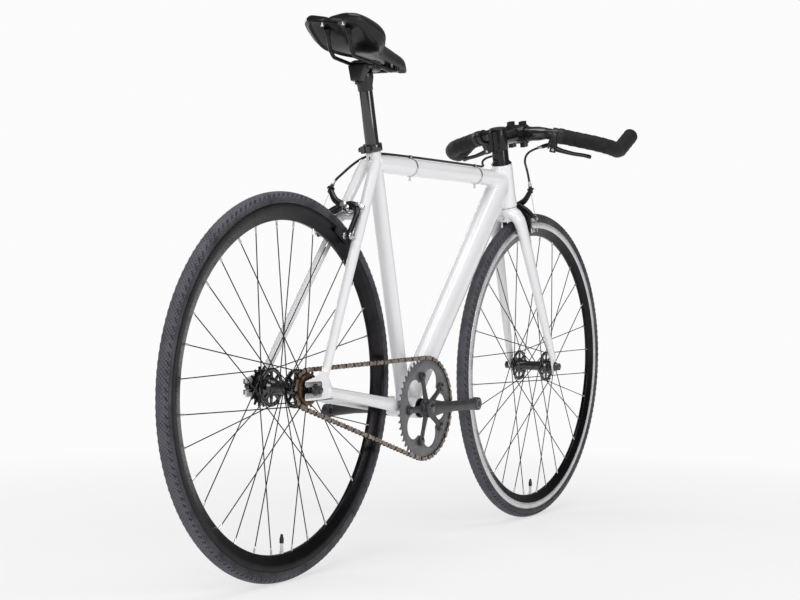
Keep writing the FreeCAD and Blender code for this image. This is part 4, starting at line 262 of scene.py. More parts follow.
class Finish:
    """A surface built from noise, grain and lines on the object's own coordinates."""

    def __init__(self, name, roughness, metallic=0.0, **sockets):
        self.material = bpy.data.materials.new(name)
        self.material.use_nodes = True
        self.tree = self.material.node_tree
        self.shader = self.tree.nodes["Principled BSDF"]
        for key, value in {"Roughness": roughness, "Metallic": metallic, **sockets}.items():
            self.shader.inputs[key.replace("_", " ")].default_value = value
        self.coords = add(self.tree, "TexCoord")

    def spot(self, stretch=(1, 1, 1), centre=(0, 0, 0), uv=False):
        source = self.coords.outputs["UV" if uv else "Object"]
        moved = add(self.tree, "Mapping", Vector=source, Location=[-c for c in centre])
        return add(self.tree, "Mapping", Vector=moved.outputs[0], Scale=stretch).outputs[0]

    def noise(self, scale, detail=3.0, **where):
        return add(self.tree, "TexNoise", Vector=self.spot(**where), Scale=scale, Detail=detail).outputs[0]

    def cells(self, scale, feature="F1", **where):
        place = self.spot(**where)
        return add(self.tree, "TexVoronoi", {"feature": feature}, Vector=place, Scale=scale).outputs[0]

    def lines(self, scale, kind="BANDS", direction="X", distortion=0.0, **where):
        settings = {"wave_type": kind}
        settings["bands_direction" if kind == "BANDS" else "rings_direction"] = direction
        place = self.spot(**where)
        wave = add(self.tree, "TexWave", settings, Vector=place, Scale=scale, Distortion=distortion)
        return wave.outputs[1]

    def ramp(self, factor, *stops):
        node = add(self.tree, "ValToRGB", Fac=factor)
        stretch = node.color_ramp.elements
        while len(stretch) < len(stops):
            stretch.new(1.0)
        for element, (position, colour) in zip(stretch, stops):
            element.position = position
            element.color = (*colour, 1)
        return node.outputs[0]

    def spread(self, factor, low, high):
        return add(self.tree, "MapRange", Value=factor, To_Min=low, To_Max=high).outputs[0]

    def sum(self, first, second, share):
        return maths(self.tree, "ADD", first, maths(self.tree, "MULTIPLY", second, share))

    def colour(self, socket):
        self.tree.links.new(socket, self.shader.inputs["Base Color"])
        return self

    def rough(self, socket):
        self.tree.links.new(socket, self.shader.inputs["Roughness"])
        return self

    def bump(self, height, distance, strength=1.0):
        node = add(self.tree, "Bump", Strength=strength, Distance=distance, Height=height)
        self.tree.links.new(node.outputs[0], self.shader.inputs["Normal"])
        return self


def gloss_paint():
    """Glossy white paint with a faint orange peel."""
    f = Finish("gloss_white_paint", 0.2, Coat_Weight=0.6, Coat_Roughness=0.06)
    f.colour(f.ramp(f.noise(9), (0.3, (0.79, 0.78, 0.80)), (0.7, (0.83, 0.82, 0.84))))
    f.rough(f.spread(f.noise(60), 0.16, 0.28))
    return f.bump(f.noise(500, 1.0), PEEL_DEPTH, 0.5).material


def anodised(name, dark, light, low, high, shine, grain=(1, 1, 1)):
    """Black anodised aluminium, its fine grain drawn out along the way it was worked."""
    f = Finish(name, low, Specular_IOR_Level=shine)
    f.colour(f.ramp(f.noise(45, 4.0), (0.25, dark), (0.75, light)))
    f.rough(f.spread(f.noise(260, 4.0, stretch=grain), low, high))
    return f.bump(f.noise(1500, 2.0, stretch=grain), ALLOY_DEPTH, 0.4).material


def turned_metal(name, dark, light, low, high, axle, scale):
    """Metal with the fine rings of a lathe about a wheel's axle."""
    f = Finish(name, low, 0.9)
    rings = f.lines(scale, "RINGS", "Y", 0.6, centre=axle)
    f.colour(f.ramp(f.sum(f.noise(30), rings, 0.5), (0.35, dark), (1.0, light)))
    f.rough(f.spread(f.noise(300), low, high))
    return f.bump(rings, LATHE_DEPTH, 0.6).material


def steel(name, dark, light, low, high, metallic=1.0):
    """Plated or bare steel with small scuffs."""
    f = Finish(name, low, metallic)
    f.colour(f.ramp(f.noise(90, 5.0), (0.3, dark), (0.7, light)))
    f.rough(f.spread(f.noise(420, 4.0, stretch=(1, 4, 1)), low, high))
    return f.bump(f.noise(2200, 2.0), SCUFF_DEPTH, 0.5).material


def rubber(name, dark, light, axle):
    """Tyre rubber: a knurled, dusty tread between smooth sidewalls with fine moulding lines."""
    f = Finish(name, 0.6, Specular_IOR_Level=0.25)
    round_share, half_share, pitch_scale = 0.48, 0.27, 90
    across = add(f.tree, "SeparateXYZ", Vector=f.coords.outputs["UV"]).outputs["Y"]
    band = maths(f.tree, "COMPARE", across, round_share, half_share)
    one_way = f.lines(pitch_scale, direction="DIAGONAL", uv=True, stretch=(TYRE_ROUND, TYRE_ARC, 1))
    other_way = f.lines(pitch_scale, direction="DIAGONAL", uv=True, stretch=(TYRE_ROUND, -TYRE_ARC, 1))
    knurl = maths(f.tree, "MULTIPLY", f.sum(one_way, other_way, 1.0), band)
    f.colour(f.ramp(f.sum(f.noise(38, 6.0), knurl, 0.35), (0.3, dark), (0.95, light)))
    f.rough(f.spread(band, 0.34, 0.7))
    casing = f.lines(420, "RINGS", "Y", 0.4, centre=axle)
    return f.bump(f.sum(f.sum(casing, f.noise(2600, 2.0), 0.5), knurl, 2.5), KNURL_DEPTH, 0.8).material


def tread_rubber():
    """The tread's siped blocks."""
    f = Finish("tread_rubber", 0.7, Specular_IOR_Level=0.2)
    f.colour(f.ramp(f.noise(60, 6.0), (0.3, (0.018, 0.017, 0.021)), (0.75, (0.050, 0.048, 0.057))))
    f.rough(f.spread(f.noise(200), 0.58, 0.8))
    return f.bump(f.noise(3000, 2.0), SIPE_DEPTH, 0.6).material


def leather(name, dark, light, low, high, pores, depth, shine):
    """Grained vinyl or tape: small cells, soft creases and a faint sheen."""
    f = Finish(name, low, Sheen_Weight=0.03, Sheen_Roughness=0.5, Specular_IOR_Level=shine)
    grain = f.cells(pores, "DISTANCE_TO_EDGE")
    crease_share = 0.4
    f.colour(f.ramp(f.sum(f.noise(70, 5.0), grain, 0.4), (0.25, dark), (0.85, light)))
    f.rough(f.spread(f.noise(150, 4.0), low, high))
    return f.bump(f.sum(grain, f.noise(pores * crease_share), 0.6), depth, 0.5).material


def plastic(name, dark, light, low, high, scale=1200, shine=0.35):
    """Moulded plastic with a fine spark grain."""
    f = Finish(name, low, Specular_IOR_Level=shine)
    f.colour(f.ramp(f.noise(50, 3.0), (0.3, dark), (0.7, light)))
    f.rough(f.spread(f.noise(180, 3.0), low, high))
    return f.bump(f.noise(scale, 2.0), SPARK_DEPTH, 0.4).material


def oiled_chain(name, dark, middle, light):
    """Browned chain steel, darker where oil has gathered; a much darker copy paints shade on the inner links."""
    f = Finish(name, 0.35, 0.85)
    f.colour(f.ramp(f.noise(130, 5.0), (0.2, dark), (0.5, middle), (0.8, light)))
    f.rough(f.spread(f.noise(300, 3.0), 0.24, 0.5))
    return f.bump(f.noise(1800, 2.0), LINK_DEPTH, 0.5).material


BLACK = (0.004, 0.004, 0.005), (0.010, 0.010, 0.012)
GREY = (0.018, 0.017, 0.020), (0.044, 0.043, 0.048)
paint = gloss_paint()
gloss_black = anodised("gloss_black_alloy", *BLACK, 0.07, 0.16, 0.95)
stem_black = anodised("stem_black_alloy", *BLACK, 0.14, 0.26, 0.35)
satin_black = anodised("satin_black_alloy", *BLACK, 0.24, 0.38, 0.5)
crank_black = anodised("crank_black_alloy", *GREY, 0.30, 0.44, 0.5, (1, 1, 0.25))
ring_grey = anodised(
    "chainring_grey_alloy", (0.085, 0.082, 0.087), (0.135, 0.130, 0.138), 0.28, 0.42, 0.5,
)
rear_rim_black = turned_metal(
    "rear_rim_black", (0.008, 0.007, 0.008), (0.024, 0.022, 0.025), 0.14, 0.26, rear_axle, 900,
)
front_rim_black = turned_metal(
    "front_rim_black", (0.008, 0.008, 0.009), (0.022, 0.021, 0.023), 0.12, 0.24, front_axle, 900,
)
brake_track = turned_metal(
    "machined_brake_track", (0.50, 0.50, 0.52), (0.74, 0.74, 0.76), 0.22, 0.34, front_axle, 1400,
)
rear_rubber = rubber("rear_tyre_rubber", (0.018, 0.017, 0.022), (0.115, 0.110, 0.132), rear_axle)
front_rubber = rubber("front_tyre_rubber", (0.015, 0.014, 0.018), (0.105, 0.100, 0.120), front_axle)
tread = tread_rubber()
spoke_black = steel("black_spoke_steel", (0.006, 0.006, 0.007), (0.016, 0.016, 0.018), 0.22, 0.36, 0.6)
bright_steel = steel("bright_plated_steel", (0.50, 0.50, 0.52), (0.68, 0.68, 0.70), 0.16, 0.34)
bare_steel = steel("bare_steel", (0.30, 0.30, 0.31), (0.46, 0.45, 0.44), 0.3, 0.48)
dark_steel = steel("blackened_steel", (0.012, 0.012, 0.013), (0.036, 0.035, 0.034), 0.20, 0.38, 0.8)
nut_steel = steel("dark_nut_steel", (0.045, 0.045, 0.048), (0.14, 0.14, 0.145), 0.16, 0.34)
bronze = steel("bronzed_freewheel_steel", (0.085, 0.050, 0.032), (0.20, 0.125, 0.080), 0.26, 0.46)
chain_steel = oiled_chain(
    "outer_link_steel", (0.10, 0.080, 0.068), (0.27, 0.22, 0.19), (0.52, 0.46, 0.42),
)
# The inner links and their rollers get a much darker copy of the outer link steel: painted shade between the outer
# plates.
chain_painted_shade = oiled_chain(
    "inner_link_steel_painted_shade", (0.010, 0.007, 0.006), (0.032, 0.023, 0.019), (0.080, 0.060, 0.050),
)
bar_wrap = leather(
    "black_bar_tape", (0.007, 0.006, 0.007), (0.018, 0.017, 0.019), 0.55, 0.75, 900, TAPE_DEPTH, 0.2,
)
saddle_skin = leather(
    "black_saddle_vinyl", (0.005, 0.005, 0.006), (0.013, 0.013, 0.015), 0.24, 0.38, 700, VINYL_DEPTH, 0.3,
)
saddle_plastic = plastic(
    "saddle_shell_plastic", (0.005, 0.004, 0.004), (0.012, 0.010, 0.010), 0.16, 0.30, 1200, 0.2,
)
black_plastic = plastic("black_plastic", (0.005, 0.005, 0.006), (0.013, 0.013, 0.014), 0.34, 0.5)
pad_rubber = plastic("brake_pad_rubber", (0.010, 0.010, 0.011), (0.024, 0.024, 0.023), 0.6, 0.8, 700)
housing_black = plastic(
    "cable_housing_black", (0.004, 0.004, 0.005), (0.010, 0.010, 0.011), 0.22, 0.36,
)


# Pieces

def placed(name, data):
    """A new object in the scene."""
    made = bpy.data.objects.new(name, data)
    bpy.context.scene.collection.objects.link(made)
    return made


def settle(name, mesh, body, finishes, *stands_for):
    """A finished mesh becomes a piece that rides on its body and stands for its nodes."""
    piece = placed(name, mesh)
    for finish in finishes:
        mesh.materials.append(finish)
    mesh.shade_smooth()
    mesh.set_sharp_from_angle(angle=math.radians(SHARP_DEGREES))
    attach(piece, body)
    if stands_for:
        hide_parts(*stands_for)
    return piece


def to_mesh(bm, name):
    mesh = bpy.data.meshes.new(name)
    bm.to_mesh(mesh)
    bm.free()
    return mesh


def outwards(bm):
    bmesh.ops.remove_doubles(bm, verts=bm.verts, dist=MERGE)
    bmesh.ops.recalc_face_normals(bm, faces=bm.faces)


def evaluated(obj):
    bpy.context.view_layer.update()
    depsgraph = bpy.context.evaluated_depsgraph_get()
    return bpy.data.meshes.new_from_object(obj.evaluated_get(depsgraph))


def dress(node, finish, edge):
    """A node's own shape with its edges eased."""
    bm = bmesh.new()
    bm.from_mesh(nodes[node].data)
    bmesh.ops.remove_doubles(bm, verts=bm.verts, dist=MERGE)
    flat = math.radians(1)
    bmesh.ops.dissolve_limit(bm, angle_limit=flat, verts=bm.verts, edges=bm.edges)
    for face in bm.faces:
        face.material_index = 0
    name = node + "_finished"
    settle(name, eased_mesh(bm, name, edge), carrier[node], [finish], node)


def eased_mesh(bm, name, edge):
    """A mesh with its sharp edges rounded off."""
    mesh = to_mesh(bm, name)
    if not edge:
        return mesh
    rough = placed(name + "_raw", mesh)
    bevel = rough.modifiers.new("eased", "BEVEL")
    bevel.width = edge
    bevel.segments = 2
    bevel.limit_method = "ANGLE"
    bevel.angle_limit = math.radians(SHARP_DEGREES)
    mesh = evaluated(rough)
    bpy.data.objects.remove(rough)
    return mesh


def ease_and_settle(name, bm, body, finishes, *stands_for, edge=EDGE_ROUND):
    bmesh.ops.recalc_face_normals(bm, faces=bm.faces)
    return settle(name, eased_mesh(bm, name, edge), body, finishes, *stands_for)


def bridge(bm, here, after):
    """Faces between two loops of the same count."""
    count = len(here)
    for k in range(count):
        bm.faces.new((here[k], here[(k + 1) % count], after[(k + 1) % count], after[k]))


def loft(bm, rings):
    """A closed skin through rings of points."""
    loops = [[bm.verts.new(point) for point in ring] for ring in rings]
    for here, after in zip(loops, loops[1:]):
        bridge(bm, here, after)
    bm.faces.new(loops[0][::-1])
    bm.faces.new(loops[-1])


def heading(points, i):
    """The way a line of points runs at one of them."""
    return (points[min(i + 1, len(points) - 1)] - points[max(i - 1, 0)]).normalized()


def ring_mesh(name, profile, axle, steps, finish_of=None):
    """A closed profile of (radius, side) corners turned about a wheel's axle."""
    bm = bmesh.new()
    flat = bm.loops.layers.uv.new("round")
    count = len(profile)
    rings = []
    for i in range(steps):
        turn = 2 * math.pi * i / steps
        c, s = math.cos(turn), math.sin(turn)
        rings.append([bm.verts.new(axle + Vector((r * c, side, r * s))) for r, side in profile])
    for i in range(steps):
        here, after = rings[i], rings[(i + 1) % steps]
        for k in range(count):
            face = bm.faces.new((here[k], here[(k + 1) % count], after[(k + 1) % count], after[k]))
            for loop, (turned, passed) in zip(face.loops, ((i, k), (i, k + 1), (i + 1, k + 1), (i + 1, k))):
                loop[flat].uv = (turned / steps, passed / count)
            if finish_of:
                face.material_index = finish_of[k]
    bmesh.ops.recalc_face_normals(bm, faces=bm.faces)
    return to_mesh(bm, name)


def sweep(bm, points, radii, sides, wave=None):
    """A round skin through points; wave can alter the radius by ring and angle."""
    start = heading(points, 0)
    steep_share = 0.9
    first = start.cross(LEFT if abs(start.y) < steep_share else UP).normalized()
    rings = []
    for i, point in enumerate(points):
        along = heading(points, i)
        first = (first - along * first.dot(along)).normalized()
        second = along.cross(first)
        ring = []
        for k in range(sides):
            turn = 2 * math.pi * k / sides
            radius = radii[i] + (wave(i, turn) if wave else 0)
            ring.append(point + (first * math.cos(turn) + second * math.sin(turn)) * radius)
        rings.append(ring)
    loft(bm, rings)


def spindle(bm, foot, run, radius, shares, sides):
    """A round form along a run, its places and radii given as shares."""
    points = [foot + run * run_share for run_share, radius_share in shares]
    sweep(bm, points, [radius * radius_share for run_share, radius_share in shares], sides)


def rod(bm, start, end, radius, sides, radius2=None):
    sweep(bm, [start, end], [radius, radius if radius2 is None else radius2], sides)


# Repeats

def node_tree(name, *sockets):
    tree = bpy.data.node_groups.new(name, "GeometryNodeTree")
    for label, kind in sockets:
        tree.interface.new_socket(label, in_out="INPUT", socket_type="NodeSocket" + kind)
    tree.interface.new_socket("Geometry", in_out="OUTPUT", socket_type="NodeSocketGeometry")
    return tree, tree.nodes.new("NodeGroupInput").outputs, tree.nodes.new("NodeGroupOutput").inputs


def lay_pieces(tree, given, result, points, turn):
    """A copy of the piece on each point, turned about y, made into a real mesh with one finish."""
    new, join = tree.nodes.new, tree.links.new
    angles = add(tree, "CombineXYZ", Y=turn)
    piece = new("GeometryNodeObjectInfo")
    laid = new("GeometryNodeInstanceOnPoints")
    real = new("GeometryNodeRealizeInstances")
    coat = new("GeometryNodeSetMaterial")
    join(given["Piece"], piece.inputs["Object"])
    join(points, laid.inputs["Points"])
    join(piece.outputs["Geometry"], laid.inputs["Instance"])
    join(angles.outputs[0], laid.inputs["Rotation"])
    join(laid.outputs[0], real.inputs[0])
    join(real.outputs[0], coat.inputs["Geometry"])
    join(given["Finish"], coat.inputs["Material"])
    join(coat.outputs[0], result[0])


def make_ring_tree():
    """Copies of a piece, evenly turned about an axle that lies along y."""
    tree, given, result = node_tree(
        "ring_of_pieces", ("Piece", "Object"), ("Count", "Int"), ("Axle", "Vector"), ("Finish", "Material"),
    )
    points = tree.nodes.new("GeometryNodePoints")
    tree.links.new(given["Count"], points.inputs["Count"])
    tree.links.new(given["Axle"], points.inputs["Position"])
    index = tree.nodes.new("GeometryNodeInputIndex")
    share = maths(tree, "DIVIDE", index.outputs[0], given["Count"])
    turn = maths(tree, "MULTIPLY", share, 2 * math.pi)
    lay_pieces(tree, given, result, points.outputs[0], turn)
    return tree


def make_line_tree():
    """Copies of a piece on a row of points, each leaned about y by the point's own angle."""
    tree, given, result = node_tree(
        "row_of_pieces", ("Points", "Geometry"), ("Piece", "Object"), ("Finish", "Material"),
    )
    lean = tree.nodes.new("GeometryNodeInputNamedAttribute")
    lean.data_type = "FLOAT"
    lean.inputs["Name"].default_value = "lean"
    lay_pieces(tree, given, result, given["Points"], lean.outputs["Attribute"])
    return tree


ring_tree = make_ring_tree()
line_tree = make_line_tree()


def grown(tree, holder_mesh, **inputs):
    """Run a tree once and return its plain mesh; the pattern piece is used up."""
    holder = placed("pattern_holder", holder_mesh)
    modifier = holder.modifiers.new("pattern", "NODES")
    modifier.node_group = tree
    sockets = {item.name: item.identifier for item in tree.interface.items_tree if item.in_out == "INPUT"}
    for label, value in inputs.items():
        modifier[sockets[label]] = value
    mesh = evaluated(holder)
    bpy.data.objects.remove(holder)
    bpy.data.objects.remove(inputs["Piece"])
    return mesh


def pattern_piece(bm, name):
    outwards(bm)
    return placed(name, to_mesh(bm, name))


def ring_of(bm, name, count, axle, finish):
    piece = pattern_piece(bm, name)
    return grown(ring_tree, bpy.data.meshes.new(name), Piece=piece, Count=count, Axle=axle, Finish=finish)


def row_of(bm, name, spots, leans, finish):
    points = bpy.data.meshes.new(name)
    points.from_pydata([tuple(spot) for spot in spots], [], [])
    points.attributes.new("lean", "FLOAT", "POINT").data.foreach_set("value", leans)
    return grown(line_tree, points, Piece=pattern_piece(bm, name), Finish=finish)


def gather(name, meshes):
    bm = bmesh.new()
    for mesh in meshes:
        bm.from_mesh(mesh)
    return to_mesh(bm, name)


# Tyres, rims and spokes

def tyre_profile():
    """A round casing with a raised tread band and a moulded ridge above the rim."""
    radius = TYRE_WIDTH / 2
    centre = BEAD_RADIUS + radius
    low_turn = math.acos((TYRE_NECK - centre) / radius)
    tread_turn, ridge_turn, ridge_width = 1.05, 1.78, 0.045
    steps = 44
    outside = []
    for i in range(steps + 1):
        turn = low_turn * (1 - 2 * i / steps)
        swell = 0
        if abs(abs(turn) - ridge_turn) < ridge_width:
            swell = TREAD_STEP
        if abs(turn) > tread_turn:
            swell -= TREAD_STEP
        outside.append((centre + (radius + swell) * math.cos(turn), (radius + swell) * math.sin(turn)))
    tuck = RIM_HALF - RIM_WALL * 2
    return outside + [(BEAD_RADIUS + RIM_WALL, -tuck), (BEAD_RADIUS + RIM_WALL, tuck)]


def tread_lug(side):
    """One slanted, round-ended block on the tyre's shoulder, near the axle's own x."""
    radius = TYRE_WIDTH / 2
    shoulder = math.radians(LUG_SHOULDER_DEGREES) * side
    out = Vector((math.cos(shoulder), math.sin(shoulder), 0))
    across = Vector((-math.sin(shoulder), math.cos(shoulder), 0)) * side
    slant_share, end_share, top_share, rise_share = 0.5, 0.4, 0.8, 0.5
    along = (UP + across * slant_share).normalized()
    wide = out.cross(along)
    middle = Vector((BEAD_RADIUS + radius, 0, 0)) + out * radius
    outline = [(-1, -end_share), (-1 + end_share, -1), (1 - end_share, -1), (1, -end_share)]
    outline += [(-x, -y) for x, y in outline]
    rings = []
    for lift, share in ((-LUG_HIGH, 1), (LUG_HIGH * rise_share, top_share)):
        half_long, half_wide = along * LUG_LONG / 2 * share, wide * LUG_WIDE / 2 * share
        rings.append([middle + out * lift + half_long * x + half_wide * y for x, y in outline])
    bm = bmesh.new()
    loft(bm, rings)
    return bm


def make_tyre(end, axle, finish):
    body = end + "_wheel"
    casing = ring_mesh(end + "_casing", tyre_profile(), axle, WHEEL_STEPS)
    settle(end + "_casing", casing, body, [finish], end + "_tyre")
    lugs = [ring_of(tread_lug(side), end + "_lugs", LUG_COUNT, axle, tread) for side in (1, -1)]
    settle(end + "_tread_blocks", gather(end + "_tread_blocks", lugs), body, [tread])


def make_rim(end, axle, wall, track):
    """The rim's outer skin: rounded crest, sloping sides, brake track, groove and hooks."""
    body = end + "_wheel"
    crest_share, soft_share, slope_share, shoulder_share = 0.6, 0.4, 1.4, 0.5
    groove_shares = (2.6, 2.2, 1.8)
    before, bottom, after = [RIM_OUTER - RIM_ROUND * share for share in groove_shares]
    half = [
        (RIM_CREST, RIM_CREST_HALF * crest_share),
        (RIM_CREST + RIM_ROUND * soft_share, RIM_CREST_HALF),
        (RIM_CREST + RIM_ROUND * slope_share, RIM_CREST_HALF + RIM_ROUND),
        (RIM_TRACK - RIM_ROUND, RIM_HALF - RIM_ROUND * shoulder_share),
        (RIM_TRACK, RIM_HALF),
        (before, RIM_HALF),
        (bottom, RIM_HALF - TRACK_GROOVE),
        (after, RIM_HALF),
        (RIM_OUTER - RIM_ROUND * soft_share, RIM_HALF),
        (RIM_OUTER, RIM_HALF - RIM_ROUND * soft_share),
        (RIM_OUTER, RIM_HALF - RIM_WALL),
        (BEAD_RADIUS, RIM_HALF - RIM_WALL),
    ]
    profile = half + [(radius, -side) for radius, side in reversed(half)]
    track_first, track_last = 4, 8
    count = len(profile)
    finish_of = [0] * count
    for k in range(track_first, track_last):
        finish_of[k] = 1
        finish_of[count - 2 - k] = 1
    mesh = ring_mesh(end + "_rim_skin", profile, axle, WHEEL_STEPS, finish_of)
    settle(end + "_rim_skin", mesh, body, [wall, track], end + "_rim")


def spoke_line(flange, side, way):
    """One spoke about an axle at the origin: its hub end, its rim end and its lift off the flange."""
    flange_radius, offset = flange
    step = 2 * math.pi / SPOKES
    rim_index = (2 if way > 0 else 0) + (1 if side > 0 else 0)
    half_step_share = 0.5
    rim_angle = (rim_index + half_step_share) * step
    hub_angle = rim_angle - way * SPOKE_CROSSINGS * 2 * step
    circle = flange_radius - FLANGE_LIP / 2
    lift = SPOKE_LIFT if way == side else 0
    face = side * offset + way * (FLANGE_THICKNESS / 2 + SPOKE_RADIUS + lift)
    start = Vector((circle * math.cos(hub_angle), face, circle * math.sin(hub_angle)))
    end = Vector((SPOKE_REACH * math.cos(rim_angle), side * RIM_STAGGER, SPOKE_REACH * math.sin(rim_angle)))
    return start, end, lift


def make_spokes(end, axle, flange):
    body = end + "_wheel"
    shanks, nipples = [], []
    copies = SPOKES // 4
    head_share, cap_share, collar_share, neck_share = 1.12, 0.6, 0.2, 0.7
    for side in (1, -1):
        for way in (1, -1):
            start, tip, lift = spoke_line(flange, side, way)
            along = (tip - start).normalized()
            thread = tip - along * NIPPLE_LENGTH
            shank = bmesh.new()
            rod(shank, start - along * SPOKE_RADIUS, thread + along * SPOKE_HEAD, SPOKE_RADIUS, 8)
            through = LEFT * -way * (lift + FLANGE_THICKNESS + SPOKE_RADIUS * 2)
            rod(shank, start, start + through, SPOKE_RADIUS, 8)
            rod(shank, start + through, start + through * head_share, SPOKE_HEAD, 8, SPOKE_HEAD * cap_share)
            shanks.append(ring_of(shank, end + "_shanks", copies, axle, spoke_black))
            nipple = bmesh.new()
            collar = thread + along * NIPPLE_LENGTH * collar_share
            rod(nipple, thread, collar, NIPPLE_RADIUS * neck_share, 10, NIPPLE_RADIUS)
            rod(nipple, collar, tip, NIPPLE_RADIUS, 10)
            nipples.append(ring_of(nipple, end + "_nipples", copies, axle, bright_steel))
    laced = gather(end + "_laced_spokes", shanks)
    settle(end + "_laced_spokes", laced, body, [spoke_black], end + "_spokes")
    settle(end + "_nipples", gather(end + "_nipples", nipples), body, [bright_steel])


def make_valve(end, axle):
    """A bright threaded stem with its lock ring and a black dust cap."""
    body = end + "_wheel"
    foot = axle - UP * SPOKE_REACH
    stem = bmesh.new()
    rod(stem, foot, foot + UP * (VALVE_LENGTH - VALVE_CAP_LENGTH), VALVE_RADIUS, 16)
    lock_height_share = 0.1
    rod(stem, foot, foot + UP * VALVE_LENGTH * lock_height_share, VALVE_CAP_RADIUS, 6)
    ease_and_settle(end + "_valve_stem", stem, body, [bright_steel], end + "_valve", edge=0)
    cap = bmesh.new()
    cap_foot = foot + UP * (VALVE_LENGTH - VALVE_CAP_LENGTH)
    shares = [(0, 1.0), (0.55, 1.0), (0.62, 0.8), (0.9, 0.62), (1.0, 0.4)]
    spindle(cap, cap_foot, UP * VALVE_CAP_LENGTH, VALVE_CAP_RADIUS, shares, 16)
    ease_and_settle(end + "_valve_cap", cap, body, [black_plastic], edge=0)


def make_wheels():
    make_tyre("front", front_axle, front_rubber)
    make_tyre("rear", rear_axle, rear_rubber)
    make_rim("front", front_axle, front_rim_black, brake_track)
    make_rim("rear", rear_axle, rear_rim_black, rear_rim_black)
    make_spokes("front", front_axle, FRONT_FLANGE)
    make_spokes("rear", rear_axle, REAR_FLANGE)
    make_valve("front", front_axle)
    make_valve("rear", rear_axle)


# Chain

def pitch_radius(teeth):
    return CHAIN_PITCH / (2 * math.sin(math.pi / teeth))


def in_drive(angle):
    return Vector((math.cos(angle), 0, math.sin(angle)))


def chain_spot(links):
    """A roller's place, counted in links from the top of the chainring."""
    ring, sprocket = pitch_radius(RING_TEETH), pitch_radius(SPROCKET_TEETH)
    gap = rear_axle - bracket
    lean = math.asin((ring - sprocket) / gap.length)
    run = gap.length * math.cos(lean) / CHAIN_PITCH
    back = math.atan2(gap.z, gap.x)
    top, bottom = back - math.pi / 2 + lean, back + math.pi / 2 - lean
    wrap = SPROCKET_TEETH * (math.pi - 2 * lean) / (2 * math.pi)
    plane = LEFT * -CHAINLINE
    if links < run:
        start, end = bracket + in_drive(top) * ring, rear_axle + in_drive(top) * sprocket
        return plane + start.lerp(end, links / run)
    links -= run
    if links < wrap:
        return plane + rear_axle + in_drive(top + links * 2 * math.pi / SPROCKET_TEETH) * sprocket
    links -= wrap
    if links < run:
        start, end = rear_axle + in_drive(bottom) * sprocket, bracket + in_drive(bottom) * ring
        return plane + start.lerp(end, links / run)
    links -= run
    return plane + bracket + in_drive(bottom + links * 2 * math.pi / RING_TEETH) * ring


def link_plate(bm, face):
    """A waisted side plate that lies along x, from one pin to the next."""
    outline = []
    steps, first_degrees, round_degrees, half_turn_degrees = 6, -75, 150, 180
    for centre, turned in ((CHAIN_PITCH, 0), (0, half_turn_degrees)):
        for k in range(steps + 1):
            turn = math.radians(first_degrees + turned + round_degrees * k / steps)
            outline.append((centre + PLATE_END * math.cos(turn), PLATE_END * math.sin(turn)))
        outline.append((CHAIN_PITCH / 2, -PLATE_WAIST if turned else PLATE_WAIST))
    loft(bm, [[Vector((x, face + lift, z)) for x, z in outline] for lift in (0, PLATE_THICKNESS)])


def make_chain():
    inner, outer = bmesh.new(), bmesh.new()
    link_plate(inner, ROLLER_HALF)
    link_plate(inner, -ROLLER_HALF - PLATE_THICKNESS)
    outer_face = ROLLER_HALF + PLATE_THICKNESS + PLATE_GAP
    link_plate(outer, outer_face)
    link_plate(outer, -outer_face - PLATE_THICKNESS)
    pin_end = outer_face + PLATE_THICKNESS + PIN_PROUD
    for x in (0, CHAIN_PITCH):
        spot = AHEAD * x
        rod(inner, spot - LEFT * ROLLER_HALF, spot + LEFT * ROLLER_HALF, ROLLER_RADIUS, 12)
        rod(outer, spot - LEFT * pin_end, spot + LEFT * pin_end, PIN_RADIUS, 8)
    spots = [chain_spot(i) for i in range(CHAIN_LINKS)]
    leans = []
    for i, spot in enumerate(spots):
        run = spots[(i + 1) % CHAIN_LINKS] - spot
        leans.append(-math.atan2(run.z, run.x))
    # The inner links are drawn in painted shade, the outer links in the lit steel.
    inner_row = row_of(inner, "inner_links", spots[0::2], leans[0::2], chain_painted_shade)
    outer_row = row_of(outer, "outer_links", spots[1::2], leans[1::2], chain_steel)
    settle("roller_chain", outer_row, "frame", [], "chain")
    settle("roller_chain_inner_links", inner_row, "frame", [])


# Frame and fork, each as one smooth painted skin

def oval(centre, first, second, half1, half2, sides=40):
    turns = [2 * math.pi * k / sides for k in range(sides)]
    return [centre + first * half1 * math.cos(turn) + second * half2 * math.sin(turn) for turn in turns]


def smooth_union(bm, name, voxel, passes):
    """Overlapping solids melted into one skin, with fillets where they meet."""
    bmesh.ops.recalc_face_normals(bm, faces=bm.faces)
    rough = placed(name, to_mesh(bm, name))
    melt = rough.modifiers.new("melt", "REMESH")
    melt.mode = "VOXEL"
    melt.voxel_size = voxel
    ease = rough.modifiers.new("ease", "SMOOTH")
    ease.factor = EASE_SHARE
    ease.iterations = passes
    mesh = evaluated(rough)
    bpy.data.objects.remove(rough)
    return mesh


def plate(bm, outline, middle, first, second, thickness):
    """A flat outline of (first, second) corners, thickened both ways."""
    half = first.cross(second).normalized() * thickness / 2
    loft(bm, [[middle + first * x + second * y + half * way for x, y in outline] for way in (-1, 1)])


def cut_corners(corners, rounds):
    """A closed outline with its corners cut again and again until they are round."""
    cut_shares = ((0.75, 0.25), (0.25, 0.75))
    for _ in range(rounds):
        rounder = []
        for here, after in zip(corners, corners[1:] + corners[:1]):
            rounder += [(here[0] * a + after[0] * b, here[1] * a + after[1] * b) for a, b in cut_shares]
        corners = rounder
    return corners


head_foot = head_top - head_up * HEAD_LENGTH
head_joint = head_top - head_up * HEAD_JOINT_BELOW
seat_top = bracket + seat_up * SEAT_TUBE_LENGTH
rear_bolt = Vector(joints["rear_adjuster_turn"]["pos_m"])
front_bolt = Vector(joints["front_adjuster_turn"]["pos_m"])
blade_up = (front_bolt - front_axle).normalized()
blade_ahead = LEFT.cross(blade_up)


